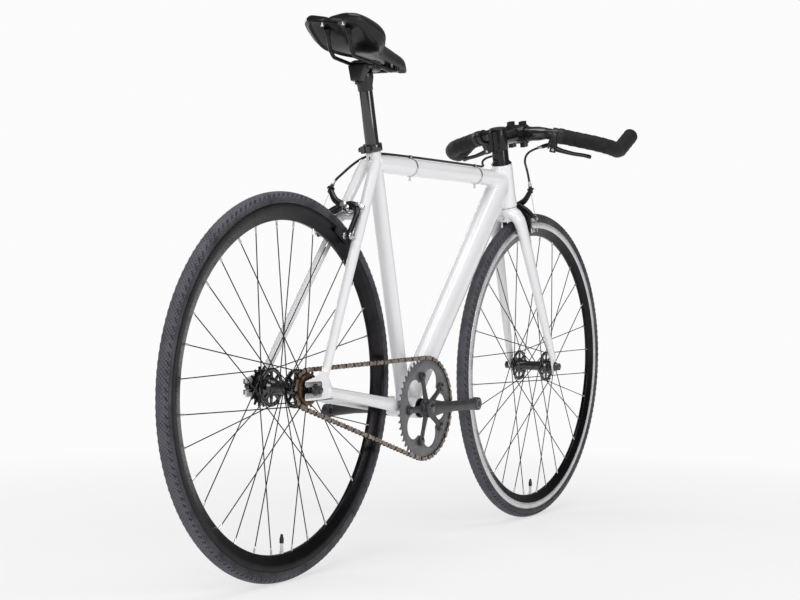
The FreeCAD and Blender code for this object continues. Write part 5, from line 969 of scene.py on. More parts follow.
def dropout_outline():
    slot = REAR_AXLE_RADIUS
    tail, tall, nose, deep = DROPOUT_TAIL, DROPOUT_HEIGHT, DROPOUT_NOSE, DROPOUT_SLOT
    top_share, belly_share, stay_share, throat_share, heel_share = 0.42, 0.5, 0.42, 0.18, 0.62
    return [
        (-tail, slot), (deep, slot), (deep, -slot), (-tail, -slot), (-tail, -tall * belly_share),
        (nose * heel_share, -tall * belly_share), (nose, -tall * stay_share), (nose, 0),
        (nose * heel_share, tall), (nose * throat_share, tall * heel_share), (-tail, tall * top_share),
    ]


def down_tube_rings():
    """A flat-sided section, blunt behind and narrow ahead, from the bracket to the head tube."""
    run = head_joint - bracket
    along = run.normalized()
    fore = LEFT.cross(along)
    across = along.cross(fore)
    deep, wide = DOWN_TUBE_DEPTH, DOWN_TUBE_WIDTH
    edge_share, back_share, flat_share, nose_share, blunt_share = 0.5, 0.30, 0.16, 0.22, 0.30
    half = [
        (-edge_share, blunt_share), (-back_share, edge_share),
        (flat_share, edge_share), (edge_share, nose_share),
    ]
    shares = [(x, -y) for x, y in half] + half[::-1]
    section = cut_corners([(deep * x, wide * y) for x, y in shares], 4)
    ends = bracket + along * SHELL_RADIUS / 2, head_joint - along * HEAD_RADIUS / 2
    return [[end + fore * x + across * y for x, y in section] for end in ends]


def make_frame():
    bm = bmesh.new()
    flare_foot, flare_top = HEAD_RADIUS + HEAD_FLARE, head_foot + head_up * HEAD_FLARE_HEIGHT
    sweep(bm, [head_foot, flare_top, head_top], [flare_foot, HEAD_RADIUS, HEAD_RADIUS], TUBE_SIDES)
    rise = (head_joint.z - bracket.z) / seat_up.z
    rod(bm, bracket + seat_up * rise, head_joint, TOP_TUBE_RADIUS, TUBE_SIDES)
    rod(bm, bracket, seat_top, SEAT_TUBE_RADIUS, TUBE_SIDES)
    rod(bm, bracket - LEFT * SHELL_HALF, bracket + LEFT * SHELL_HALF, SHELL_RADIUS, TUBE_SIDES)
    loft(bm, down_tube_rings())
    for side in (1, -1):
        foot_side = LEFT * side * DROPOUT_SIDE
        root = bracket + CHAINSTAY_ROOT + LEFT * side * CHAINSTAY_SIDE
        foot = rear_axle + CHAINSTAY_FOOT + foot_side
        along = (foot - root).normalized()
        tall = (UP - along * along.z).normalized()
        wide = along.cross(tall)
        root_ring = oval(root, tall, wide, *CHAINSTAY_ROOT_OVAL, TUBE_SIDES)
        loft(bm, [root_ring, oval(foot, tall, wide, *CHAINSTAY_FOOT_OVAL, TUBE_SIDES)])
        top = seat_top - seat_up * STAY_TOP_BELOW + seat_back * STAY_TOP_BACK + LEFT * side * STAY_TOP_SIDE
        low = rear_axle + STAY_FOOT + foot_side
        rod(bm, top, low, STAY_TOP_RADIUS, TUBE_SIDES, STAY_FOOT_RADIUS)
        run = low - top
        flat_run = Vector((run.x, 0, run.z))
        share = (rear_bolt - top).dot(flat_run) / flat_run.length_squared
        rod(bm, rear_bolt, top + run * share, BRIDGE_RADIUS, TUBE_SIDES)
        plate(bm, dropout_outline(), rear_axle + foot_side, AHEAD, UP, DROPOUT_THICKNESS)
    mesh = smooth_union(bm, "frame_skin", FRAME_VOXEL, 7)
    tubes = ("head_tube", "top_tube", "down_tube", "seat_tube", "bottom_bracket_shell")
    settle("frame_skin", mesh, "frame", [paint], *tubes, "chainstays", "seatstays", "rear_dropouts")


def make_fork():
    """Blades that sweep down from the crown in one curve, with slotted ends."""
    bm = bmesh.new()
    slot, end = FRONT_AXLE_RADIUS, FORK_END_HALF
    roof_share, heel_share, neck_share, neck_height_share = 0.4, 0.4, 0.6, 2.2
    roof, heel, neck, neck_up = slot * roof_share, end * heel_share, end * neck_share, end * neck_height_share
    outline = [
        (slot, -end), (slot, roof), (0, slot), (-slot, roof), (-slot, -end), (-end, -heel),
        (-end, end), (-neck, neck_up), (neck, neck_up), (end, end), (end, -heel),
    ]
    for side in (1, -1):
        spots = [front_axle + LEFT * side * out + blade_up * up for out, up, deep, thin in FORK_STATIONS]
        rings = []
        for i, (out, up, deep, thin) in enumerate(FORK_STATIONS):
            thin_way = heading(spots, i).cross(blade_ahead).normalized()
            rings.append(oval(spots[i], blade_ahead, thin_way, deep, thin, TUBE_SIDES))
        loft(bm, rings)
        tip = front_axle + LEFT * side * FORK_END_SIDE
        plate(bm, outline, tip, blade_ahead, blade_up, DROPOUT_THICKNESS)
    shares = [(0, 1.0), (0.25, 1.0), (0.6, 0.92), (1.0, 0.75)]
    spindle(bm, head_foot - head_up * CROWN_GAP, -head_up * CROWN_HEIGHT, HEAD_RADIUS, shares, TUBE_SIDES)
    mesh = smooth_union(bm, "fork_skin", FORK_VOXEL, 6)
    settle("fork_skin", mesh, "steering", [paint], "fork_crown", "fork_blades")


def make_dropout_plates():
    """Square bare-metal faces on the rear ends, slotted for the axle, and the slit behind the seat tube."""
    bm = bmesh.new()
    half, slot, deep = PLATE_FACE_HALF, REAR_AXLE_RADIUS, DROPOUT_SLOT
    tail, nose, corner = PLATE_FACE_TAIL, PLATE_FACE_NOSE, PLATE_FACE_CORNER
    outline = [
        (-tail, slot), (deep, slot), (deep, -slot), (-tail, -slot), (-tail, -half), (nose - corner, -half),
        (nose, corner - half), (nose, half - corner), (nose - corner, half), (-tail, half),
    ]
    for side in (1, -1):
        face = rear_axle + LEFT * side * (DROPOUT_SIDE + DROPOUT_THICKNESS / 2)
        plate(bm, outline, face, AHEAD, UP, PLATE_FACE_THICKNESS)
    ease_and_settle("dropout_faces", bm, "frame", [bare_steel])
    slit = bmesh.new()
    back = seat_top + seat_back * SEAT_TUBE_RADIUS - seat_up * SLIT_LENGTH
    rod(slit, back, back + seat_up * SLIT_LENGTH / 2, SLIT_RADIUS, 8)
    rod(slit, back - seat_back * SLIT_RADIUS, back + seat_back * SLIT_RADIUS, SLIT_END_RADIUS, 16)
    ease_and_settle("seat_tube_slit", slit, "frame", [black_plastic])


# Hubs

def make_hub(end, axle, flange, half, waist, nose):
    """A waisted shell between two flanges with open windows."""
    flange_radius, offset = flange
    thin = FLANGE_THICKNESS / 2
    inner_share, ring_share, waist_share, swell_share = 0.5, 0.8, 0.3, 1.15
    bevel_share, lip_share, swell_reach_share, nose_reach_share = 0.98, 0.9, 4, 3
    inner, ring = flange_radius * inner_share, flange_radius * ring_share
    bm = bmesh.new()
    side_shell = [
        (offset * waist_share, waist), (offset - thin * swell_reach_share, waist * swell_share),
        (offset - thin, inner), (offset + thin, inner), (offset + thin * nose_reach_share, nose),
        (half * bevel_share, nose), (half, nose * lip_share),
    ]
    shell = [(-side, radius) for side, radius in reversed(side_shell)] + side_shell
    sweep(bm, [axle + LEFT * side for side, radius in shell], [radius for side, radius in shell], 48)
    rib_share, root_share, root_reach_share, tip_reach_share, rib_thickness_share = 0.16, 1.6, 0.9, 1.03, 0.8
    wide = inner * rib_share
    root, tip = inner * root_reach_share, ring * tip_reach_share
    rib = [(root, -wide * root_share), (tip, -wide), (tip, wide), (root, wide * root_share)]
    for side in (1, -1):
        middle = side * offset
        low, high = middle - thin, middle + thin
        merge_ring(bm, [(ring, low), (flange_radius, low), (flange_radius, high), (ring, high)], axle, 64)
        for k in range(WINDOWS):
            turn = 2 * math.pi * k / WINDOWS
            out, tangent = in_drive(turn), in_drive(turn + math.pi / 2)
            plate(bm, rib, axle + LEFT * middle, out, tangent, FLANGE_THICKNESS * rib_thickness_share)
    ease_and_settle(end + "_hub_shell", bm, end + "_wheel", [gloss_black], end + "_hub")


def merge_ring(bm, profile, axle, steps):
    mesh = ring_mesh("ring", profile, axle, steps)
    bm.from_mesh(mesh)
    bpy.data.meshes.remove(mesh)


# Rim brakes

def smooth_line(spots, values, steps):
    """Points eased through spots, each with a value between those of its neighbours."""
    line, between = [], []
    for i in range(len(spots) - 1):
        p0, p1 = spots[max(i - 1, 0)], spots[i]
        p2, p3 = spots[i + 1], spots[min(i + 2, len(spots) - 1)]
        for k in range(steps):
            s = k / steps
            bend = (p0 * 2 - p1 * 5 + p2 * 4 - p3) * s**2 + (p1 * 3 - p0 - p2 * 3 + p3) * s**3
            line.append(p1 + (p2 - p0) * s / 2 + bend / 2)
            between.append(values[i] * (1 - s) + values[i + 1] * s)
    return line + [spots[-1]], between + [values[-1]]


def make_brake(end, axle, bolt):
    """Curved arms, shoes with bright bolts, the barrel, and the wire with its clamp."""
    away = Vector(joints[end + "_adjuster_turn"]["axis"]).normalized()
    up = (bolt - axle).normalized()
    across = away.cross(up)
    pinch_layer = BRAKE_FACE[end] + BRAKE_PINCH_LAYER
    adjuster_layer = pinch_layer + BRAKE_LAYER_STEP

    def at(x, y, layer):
        return bolt + across * x + up * y + away * layer

    def arm(bm, stations, side, layer):
        stations = stations + [(side * BRAKE_LEG, -BRAKE_FOOT[end], BRAKE_LEG_HALF)]
        spots = [at(x, y, layer) for x, y, half in stations]
        line, halves = smooth_line(spots, [half for x, y, half in stations], 5)
        rings = []
        for i, spot in enumerate(line):
            wide_way = away.cross(heading(line, i)).normalized()
            rings.append(oval(spot, wide_way, away, halves[i], BRAKE_ARM_HALF, 20))
        loft(bm, rings)

    def shoe(pads, bright, side, layer):
        """A pad along the rim with its bright bolt outside the arm."""
        middle = at(0, 0, layer)
        middle = middle - up * ((middle - axle).length - PAD_RADIUS)
        radial = (middle - axle).normalized()
        out = across * side
        tangent = out.cross(radial)
        inner = RIM_HALF + PAD_GAP
        low, high = out * inner, out * (inner + PAD_THICKNESS)
        steps, back_share = 8, 0.8
        rows = []
        for k in range(steps + 1):
            angle = (k / steps - 1 / 2) * PAD_LENGTH / PAD_RADIUS
            centre = axle + (radial * math.cos(angle) + tangent * math.sin(angle)) * PAD_RADIUS
            half = (centre - axle).normalized() * PAD_HALF
            back = half * back_share
            near, far = centre + low, centre + high
            rows.append([near - half, near + half, far + back, far - back])
        loft(pads, rows)
        start = middle + high
        outside = start + out * PAD_STUD
        nut = outside + out * BRAKE_PLATE
        nut_share, washer_share, rim_share = 2.5, 0.75, 0.85
        rod(bright, start, outside, STUD_RADIUS, 16)
        rod(bright, start, start + out * BRAKE_PLATE, BRAKE_WASHER, 20, BRAKE_WASHER * washer_share)
        rod(bright, outside, nut, BRAKE_WASHER, 20, BRAKE_WASHER * rim_share)
        rod(bright, nut, nut + out * BRAKE_PLATE * nut_share, BRAKE_NUT, 6)

    black, pads, bright = bmesh.new(), bmesh.new(), bmesh.new()
    arm(black, ADJUSTER_ARM, 1, adjuster_layer)
    barrel_foot = at(BARREL_OUT, BARREL_UP, adjuster_layer)
    shares = [(0, 0.9), (0.1, 1.0), (0.45, 1.0), (0.5, 1.75), (0.62, 1.75), (0.66, 0.95), (1.0, 0.9)]
    spindle(black, barrel_foot, up * BARREL_LENGTH, BARREL_RADIUS, shares, 20)
    shoe(pads, bright, 1, adjuster_layer)
    nose = at(0, 0, adjuster_layer + BRAKE_ARM_HALF)
    rod(bright, nose, nose + away * BRAKE_PLATE * 2, BRAKE_HEAD, 24)
    finish_brake(end + "_adjuster", end + "_brake_adjuster_arm", black, pads, bright)

    black, pads, bright = bmesh.new(), bmesh.new(), bmesh.new()
    arm(black, PINCH_ARM, -1, pinch_layer)
    shoe(pads, bright, -1, pinch_layer)
    grip = at(BARREL_OUT, -BRAKE_PINCH_DOWN, pinch_layer + BRAKE_ARM_HALF)
    face = grip + away * BRAKE_PLATE * 3
    rod(bright, grip, face, BRAKE_WASHER, 20)
    rod(bright, face, face + away * BRAKE_PLATE * 2, BRAKE_PIN, 6)
    rod(bright, grip, grip - away * (BRAKE_ARM_HALF * 2 + BRAKE_PLATE * 2), BRAKE_PIN, 20)
    side_pin = at(-BRAKE_PIVOT_OUT, BRAKE_PIVOT_UP, pinch_layer + BRAKE_ARM_HALF)
    rod(bright, side_pin, side_pin + away * BRAKE_PLATE, BRAKE_PIN, 20)
    wire_low = at(BARREL_OUT, -BRAKE_PINCH_DOWN - WIRE_TAIL, adjuster_layer)
    rod(bright, wire_low, barrel_foot, WIRE_RADIUS, 8)
    finish_brake(end + "_pinch", end + "_brake_pinch_arm", black, pads, bright)


def finish_brake(body, node, black, pads, bright):
    ease_and_settle(node + "_curved", black, body, [stem_black], node)
    ease_and_settle(node + "_pad", pads, body, [pad_rubber])
    ease_and_settle(node + "_bolts", bright, body, [bright_steel])


# Bar tape and levers

def arc_path(corners, bends, step):
    """Points along straight runs joined by tangent arcs."""
    path = [corners[0]]
    for before, corner, after, bend in zip(corners, corners[1:], corners[2:], bends):
        arrive, leave = (corner - before).normalized(), (after - corner).normalized()
        turn = arrive.angle(leave)
        setback = bend * math.tan(turn / 2)
        start, end = corner - arrive * setback, corner + leave * setback
        middle = corner + (leave - arrive).normalized() * bend / math.cos(turn / 2)
        axis = arrive.cross(leave).normalized()
        path.append(start)
        count = max(2, int(bend * turn / step))
        for k in range(1, count):
            path.append(middle + Matrix.Rotation(turn * k / count, 3, axis) @ (start - middle))
        path.append(end)
    path.append(corners[-1])
    even = [path[0]]
    for before, after in zip(path, path[1:]):
        count = max(1, int((after - before).length / step))
        even += [before.lerp(after, (k + 1) / count) for k in range(count)]
    return even


def bar_corners(side):
    out = BAR_CENTRE + LEFT * side * BAR_HALF_WIDTH
    return [BAR_CENTRE + LEFT * side * BAR_FLAT] + [out + turn for turn in BAR_TURNS]


def make_tape():
    """Overlapping turns of bar tape, with a band that holds the inner end."""
    wraps = bmesh.new()
    bands = bmesh.new()
    for side in (1, -1):
        corners = bar_corners(side)
        way = (corners[1] - corners[0]).normalized()
        corners[0] = corners[0] + way * TAPE_START
        path = arc_path(corners, BAR_BENDS, TAPE_GRAIN)
        travel = [0.0]
        for before, after in zip(path, path[1:]):
            travel.append(travel[-1] + (after - before).length)

        def lap(i, turn):
            phase = (travel[i] / TAPE_STEP + side * turn / (2 * math.pi)) % 1.0
            lip_share = 0.12
            if phase < lip_share:
                return TAPE_LIP * phase / lip_share
            return TAPE_LIP * (1 - (phase - lip_share) / (1 - lip_share))

        sweep(wraps, path, [TAPE_RADIUS - TAPE_LIP / 2] * len(path), 40, lap)
        band_shares = (-0.1, 0.0, 0.5, 0.6)
        band_points = [corners[0] + way * TAPE_STEP * share for share in band_shares]
        band = TAPE_RADIUS + TAPE_LIP
        sweep(bands, band_points, [BAR_RADIUS + TAPE_LIP, band, band, TAPE_RADIUS], 40)
    ease_and_settle("bar_tape_wraps", wraps, "steering", [bar_wrap], "bar_tape", edge=0)
    ease_and_settle("bar_tape_bands", bands, "steering", [black_plastic], edge=0)


def make_bar_sleeve():
    """The bar's thicker middle, which slims towards the tape."""
    bm = bmesh.new()
    shares = [(0.26, 1.27), (0.72, 1.27), (0.95, 1.06), (1.0, 1.0)]
    for side in (1, -1):
        spindle(bm, BAR_CENTRE, LEFT * side * BAR_FLAT, BAR_RADIUS, shares, 40)
    ease_and_settle("bar_sleeve", bm, "steering", [gloss_black], edge=0)


def make_lever(name, side):
    """A curved blade from the lever's pin, with a rounded tip."""
    pull = joints[name + "_pull"]
    pin, across = Vector(pull["pos_m"]), Vector(pull["axis"]).normalized()
    corners = bar_corners(side)
    out = (corners[1] - corners[0]).normalized()
    down = out.cross(across).normalized()
    if down.z > 0:
        down = -down
    bm = bmesh.new()
    rings = []
    for reach, sag, deep, thick in LEVER_STATIONS:
        rings.append(oval(pin + out * reach + down * sag, down, across, deep, thick, 24))
    loft(bm, rings)
    node = "left_brake_lever" if side > 0 else "right_brake_lever"
    ease_and_settle(node + "_blade", bm, name, [satin_black], node)
    pins = bmesh.new()
    for way in (1, -1):
        face = pin + across * way * LEVER_PIN_REACH
        rod(pins, face, face + across * way * SPOKE_HEAD, BRAKE_BOLT, 16)
    ease_and_settle(node + "_pin", pins, "steering", [bright_steel])


# Cranks

def make_crank(node, out, along, fingers):
    """A forged arm: round boss, waisted arm, pedal eye and tapering fingers for the ring."""
    bm = bmesh.new()
    tall = out.cross(along)
    rod(bm, bracket + out * BOSS_INNER, bracket + out * CRANK_FACE, BOSS_RADIUS, 40)
    rings = []
    for reach_share, tall_share, thick_share in CRANK_SHARES:
        face = CRANK_FACE + (PEDAL_FACE - CRANK_FACE) * reach_share
        middle = bracket + along * CRANK_LENGTH * reach_share + out * (face - CRANK_THICKNESS / 2)
        rings.append(oval(middle, tall, out, EYE_RADIUS * tall_share, CRANK_THICKNESS / 2 * thick_share))
    loft(bm, rings)
    eye = bracket + along * CRANK_LENGTH
    back, front = eye + out * (PEDAL_FACE - CRANK_THICKNESS), eye + out * PEDAL_FACE
    rod(bm, back, front, EYE_RADIUS, 36)
    for k in range(fingers):
        turn = (2 * k + 1) * math.pi / fingers
        away, tangent = in_drive(turn), in_drive(turn + math.pi / 2)
        middle = bracket + out * FINGER_PLANE
        rings = []
        for reach_share, wide_share in FINGER_SHARES:
            spot = middle + away * RING_BOLT_CIRCLE * reach_share
            rings.append(oval(spot, tangent, out, FINGER_TIP * wide_share, FINGER_THICKNESS / 2, 24))
        loft(bm, rings)
        tip = middle + away * RING_BOLT_CIRCLE
        rod(bm, tip - out * FINGER_THICKNESS / 2, tip + out * FINGER_THICKNESS / 2, FINGER_TIP, 28)
    settle(node + "_forged", smooth_union(bm, node, CRANK_VOXEL, 4), "crank", [crank_black], node)
    cap = bmesh.new()
    face = bracket + out * CRANK_FACE
    points = [face - out * CAP_SUNK, face + out * CAP_PROUD / 2, face + out * CAP_PROUD]
    radius_shares = (1.0, 1.0, 0.85)
    sweep(cap, points, [CAP_RADIUS * share for share in radius_shares], 32)
    ease_and_settle(node + "_dust_cap", cap, "crank", [gloss_black])
    # The dark disc over the solid pedal eye is painted shade for the inside of the threaded hole; the collar is
    # the bare ring round it.
    rows = [
        ("_pedal_hole", HOLE_PROUD, PEDAL_HOLE, housing_black),
        ("_pedal_collar", COLLAR_PROUD, COLLAR_RADIUS, bare_steel),
    ]
    for ending, proud, radius, finish in rows:
        disc = bmesh.new()
        rod(disc, back - out * proud, front + out * proud, radius, 28)
        ease_and_settle(node + ending, disc, "crank", [finish], edge=0)


# Cables

# Right lever to front brake, in one bend beside the head tube
FRONT_CABLE = [
    (0.3969, -0.0545, 0.8115), (0.3955, -0.0351, 0.8067), (0.3820, -0.0240, 0.7950),
    (0.3620, -0.0300, 0.7780), (0.3509, -0.0410, 0.7620), (0.3507, -0.0450, 0.7487),
    (0.3605, -0.0450, 0.7257),
]
# Left lever to the top tube, past the left of the head tube
BAR_CABLE = [
    (0.3969, 0.0545, 0.8115), (0.3957, 0.0380, 0.8074), (0.3840, 0.0200, 0.8000), (0.3620, 0.0200, 0.7960),
    (0.3410, 0.0310, 0.7905), (0.3140, 0.0370, 0.7835), (0.2870, 0.0310, 0.7755), (0.2630, 0.0190, 0.7675),
    (0.2460, 0.0060, 0.7607), (0.2280, 0.0030, 0.7593),
]
# Along the top tube, past the left of the seat tube and down to the rear brake
REAR_CABLE = [
    (0.2276, 0.0029, 0.7593), (0.2070, 0.0000, 0.7590), (-0.1500, 0.0000, 0.7590),
    (-0.1700, 0.0170, 0.7580), (-0.1930, 0.0310, 0.7480), (-0.2180, 0.0380, 0.7325),
    (-0.2400, 0.0420, 0.7170), (-0.2600, 0.0450, 0.7040), (-0.2690, 0.0450, 0.6944),
]


def cable_mesh(name, route):
    """A round housing along a smooth line that its route's points control."""
    curve = bpy.data.curves.new(name, "CURVE")
    curve.dimensions = "3D"
    curve.bevel_depth = HOUSING_RADIUS
    curve.bevel_resolution = 4
    curve.resolution_u = 10
    curve.use_fill_caps = True
    spline = curve.splines.new("NURBS")
    spline.points.add(len(route) - 1)
    for point, spot in zip(spline.points, route):
        point.co = (*spot, 1)
    spline.order_u = 3
    spline.use_endpoint_u = True
    holder = placed(name, curve)
    mesh = evaluated(holder)
    bpy.data.objects.remove(holder)
    return mesh


def make_ferrule(name, body, end, before):
    """A bright stepped cap on a cable's end."""
    end = Vector(end)
    along = (Vector(before) - end).normalized()
    shares = [(0, 1.25), (0.35, 1.25), (0.36, 1.0), (1.0, 0.95)]
    bm = bmesh.new()
    spindle(bm, end, along * FERRULE_LENGTH, FERRULE_RADIUS, shares, 20)
    ease_and_settle(name, bm, body, [bright_steel], edge=0)


def make_cables():
    for name, route, body in (("front_cable", FRONT_CABLE, "steering"), ("rear_cable", REAR_CABLE, "frame")):
        settle(name, cable_mesh(name, route), body, [housing_black], name + "_housing")
    mesh = cable_mesh("bar_cable", BAR_CABLE)
    mesh.materials.append(housing_black)
    mesh.shade_smooth()
    piece = placed("bar_cable", mesh)
    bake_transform(piece)
    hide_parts("rear_cable_bar_run")
    make_ferrule("front_cable_ferrule", "steering", FRONT_CABLE[-1], FRONT_CABLE[-2])
    make_ferrule("rear_cable_ferrule", "frame", REAR_CABLE[-1], REAR_CABLE[-2])
    make_ferrule("right_lever_ferrule", "steering", FRONT_CABLE[0], FRONT_CABLE[1])
    make_ferrule("left_lever_ferrule", "steering", BAR_CABLE[0], BAR_CABLE[1])


# Saddle

tilt = math.radians(SADDLE_TILT_DEGREES)
saddle_ahead = Vector((math.cos(tilt), 0, -math.sin(tilt)))
saddle_up = saddle_ahead.cross(LEFT)


def on_saddle(ahead, side, up):
    return POST_TOP + saddle_ahead * ahead + LEFT * side + saddle_up * up


# Share of the length, then shares of the half width and of the crown for side lobes, middle and underside
SADDLE_SHARES = [
    (0.000, 0.64, 1.00, 0.84, 0.68), (0.055, 0.83, 1.06, 0.80, 0.60), (0.180, 0.97, 1.04, 0.76, 0.36),
    (0.310, 1.00, 0.92, 0.70, 0.11), (0.420, 0.72, 0.77, 0.64, 0.01), (0.520, 0.45, 0.67, 0.60, 0.00),
    (0.620, 0.36, 0.61, 0.57, 0.00), (0.760, 0.30, 0.54, 0.52, 0.00), (0.920, 0.24, 0.43, 0.42, 0.00),
    (1.000, 0.12, 0.22, 0.21, 0.00),
]


def eased(table, at, column):
    """A smooth reading of a table of shares at any place between its rows."""
    for i in range(len(table) - 1):
        low, high = table[i][0], table[i + 1][0]
        if at <= high:
            before, after = table[max(i - 1, 0)], table[min(i + 2, len(table) - 1)]
            share = (at - low) / (high - low)
            rise1 = (table[i + 1][column] - before[column]) / (high - before[0])
            rise2 = (after[column] - table[i][column]) / (after[0] - low)
            span = high - low
            a, b = table[i][column], table[i + 1][column]
            s2, s3 = share**2, share**3
            return (
                a * (2 * s3 - 3 * s2 + 1) + rise1 * span * (s3 - 2 * s2 + share)
                + b * (3 * s2 - 2 * s3) + rise2 * span * (s3 - s2)
            )
    return table[-1][column]


# Share of the way round from below, then shares of the half width and of the height
SECTION_SHARES = [
    (0.00, 0.000, 0.00), (0.14, 0.560, 0.00), (0.24, 0.800, 0.02), (0.34, 0.930, 0.16), (0.44, 1.000, 0.34),
    (0.54, 0.985, 0.58), (0.64, 0.870, 0.82), (0.76, 0.660, 0.97), (0.86, 0.430, 0.99), (1.00, 0.000, 1.00),
]


def saddle_point(along, around, lift=0):
    """A spot on the cover: along from tail to nose, around from the middle below to the middle above."""
    half = SADDLE_HALF * eased(SADDLE_SHARES, along, 1)
    lobe, dip, foot = [SADDLE_CROWN * eased(SADDLE_SHARES, along, column) for column in (2, 3, 4)]
    turn = abs(around)
    side_share = eased(SECTION_SHARES, turn, 1)
    up = foot + (lobe - foot) * eased(SECTION_SHARES, turn, 2)
    inner_share = 0.62
    if turn > inner_share:
        share = (turn - inner_share) / (1 - inner_share)
        up -= (lobe - dip) * share * share * (3 - 2 * share)
    edge = min(1, max(0, (SHELL_EDGE_SHARE - turn) / SHELL_STEP_SHARE))
    up += SHELL_RECESS * edge * edge * (3 - 2 * edge) * min(1, (1 - along) / SHELL_NOSE_SHARE)
    notch_share = 0.2
    notch = TAIL_NOTCH * max(0, 1 - along / notch_share) * (1 - side_share) ** 2
    ahead = SADDLE_LENGTH * along - SADDLE_BACK + notch
    return on_saddle(ahead, math.copysign(half * side_share, around), SADDLE_ABOVE + up + lift)


def close_end(bm, loop, push):
    """A soft bulge over one end of the cover."""
    middle = sum((v.co for v in loop), Vector()) / len(loop)
    shrink_shares = (0.8, 0.45, 0.15)
    last = loop
    for share in shrink_shares:
        reach = saddle_ahead * push * SADDLE_BULGE * math.sqrt(1 - share**2)
        inner = [bm.verts.new(middle + (v.co - middle) * share + reach) for v in loop]
        bridge(bm, last, inner)
        last = inner
    bm.faces.new(last)


def make_saddle():
    """The padded cover as one skin, with a welt round its edge."""
    rows, ring = 64, 80
    aside = 1e-6
    bm = bmesh.new()
    grid = []
    for i in range(rows + 1):
        grid.append([bm.verts.new(saddle_point(i / rows, 2 * k / ring - 1 + aside)) for k in range(ring)])
    for here, after in zip(grid, grid[1:]):
        bridge(bm, here, after)
    close_end(bm, grid[0], -1)
    close_end(bm, grid[-1], 1)
    cover = ease_and_settle("saddle_padding", bm, "seat", [saddle_skin], "saddle_cover", edge=0)
    welt = bmesh.new()
    around_share, start_share, run_share, steps = 0.40, 0.02, 0.95, 80
    for side in (1, -1):
        shares = [start_share + run_share * i / steps for i in range(steps + 1)]
        line = [saddle_point(share, side * around_share) for share in shares]
        sweep(welt, line, [WELT_RADIUS] * len(line), 8)
    ease_and_settle("saddle_welt", welt, "seat", [black_plastic], edge=0)


def make_saddle_shell():
    """The plastic shell sunk into the cover, the sockets for the rails and two bright screws."""
    bm = bmesh.new()
    rows, columns = 48, 16
    first_share, last_share = 0.02, 0.97
    reach = SHELL_EDGE_SHARE - SHELL_STEP_SHARE
    skins = []
    for lift in (-SHELL_THICKNESS, 0):
        skin = []
        for i in range(rows + 1):
            along = first_share + (last_share - first_share) * i / rows
            turns = [reach * (2 * k / columns - 1) for k in range(columns + 1)]
            skin.append([bm.verts.new(saddle_point(along, turn, lift)) for turn in turns])
        skins.append(skin)
    low, high = skins
    for i in range(rows):
        for k in range(columns):
            bm.faces.new((low[i][k], low[i][k + 1], low[i + 1][k + 1], low[i + 1][k]))
            bm.faces.new((high[i][k], high[i + 1][k], high[i + 1][k + 1], high[i][k + 1]))
        for k in (0, columns):
            bm.faces.new((low[i][k], low[i + 1][k], high[i + 1][k], high[i][k]))
    for i in (0, rows):
        for k in range(columns):
            bm.faces.new((low[i][k], low[i][k + 1], high[i][k + 1], high[i][k]))
    screws, rails = bmesh.new(), bmesh.new()
    socket_shares, nose_share = [(0, 0.75), (0.5, 1.0), (1.0, 1.15)], 1.2
    for side in (1, -1):
        bend = on_saddle(TAIL_RAIL, side * RAIL_SIDE, RAIL_END_UP)
        root = on_saddle(TAIL_SOCKET, side * RAIL_SIDE, TAIL_SOCKET_UP)
        run = (root - bend).normalized() * SOCKET_LENGTH
        rod(rails, bend, root, RAIL_RADIUS, 16)
        spindle(bm, root - run, run, SOCKET_RADIUS, socket_shares, 24)
        low = on_saddle(NOSE_RAIL, side * NOSE_RAIL_SIDE, RAIL_END_UP)
        high = on_saddle(NOSE_RAIL, side * NOSE_RAIL_SIDE, NOSE_SOCKET_UP)
        rod(bm, low, high, SOCKET_RADIUS, 20, SOCKET_RADIUS * nose_share)
        screw = on_saddle(TAIL_SCREW, side * RAIL_SIDE, SCREW_UP)
        rod(screws, screw, screw + saddle_up * SOCKET_LENGTH, SCREW_RADIUS, 20)
    ease_and_settle("saddle_shell", bm, "seat", [saddle_plastic], "saddle_base", edge=0)
    ease_and_settle("saddle_screws", screws, "seat", [bright_steel])
    ease_and_settle("saddle_rail_ends", rails, "seat", [dark_steel], edge=0)


def make_saddle_clamp():
    """A collar on the post, a cradle and a top plate that pinch the rails, and the block for the bolt."""
    bm = bmesh.new()
    top = POST_TOP + seat_up * CLAMP_NECK_ABOVE
    shares = [(0.0, 1.25), (0.3, 1.25), (0.75, 1.0), (1.0, 1.0)]
    spindle(bm, top, -seat_up * CLAMP_NECK_LENGTH, CLAMP_NECK_RADIUS, shares, 40)
    for ahead_half, side_half, up, thick in CLAMP_PLATES:
        corners = [(x * ahead_half, y * side_half) for x, y in SQUARE]
        plate(bm, cut_corners(corners, 1), on_saddle(0, 0, up), saddle_ahead, LEFT, thick)
    rows = []
    for up, ahead_half, side_half, back in CLAMP_BLOCK:
        rows.append([on_saddle(back + x * ahead_half, y * side_half, up) for x, y in SQUARE])
    loft(bm, rows)
    ease_and_settle("saddle_clamp_block", bm, "seat", [satin_black], "saddle_clamp", edge=EDGE_ROUND * 2)
    bolts = bmesh.new()
    foot_up, _, _, foot_back = CLAMP_BLOCK[0]
    head = on_saddle(foot_back, 0, foot_up)
    rod(bolts, head, head - saddle_up * SOCKET_LENGTH / 2, CLAMP_BOLT_RADIUS, 6)
    ease_and_settle("saddle_clamp_bolt", bolts, "seat", [dark_steel])


# The other nodes, dressed

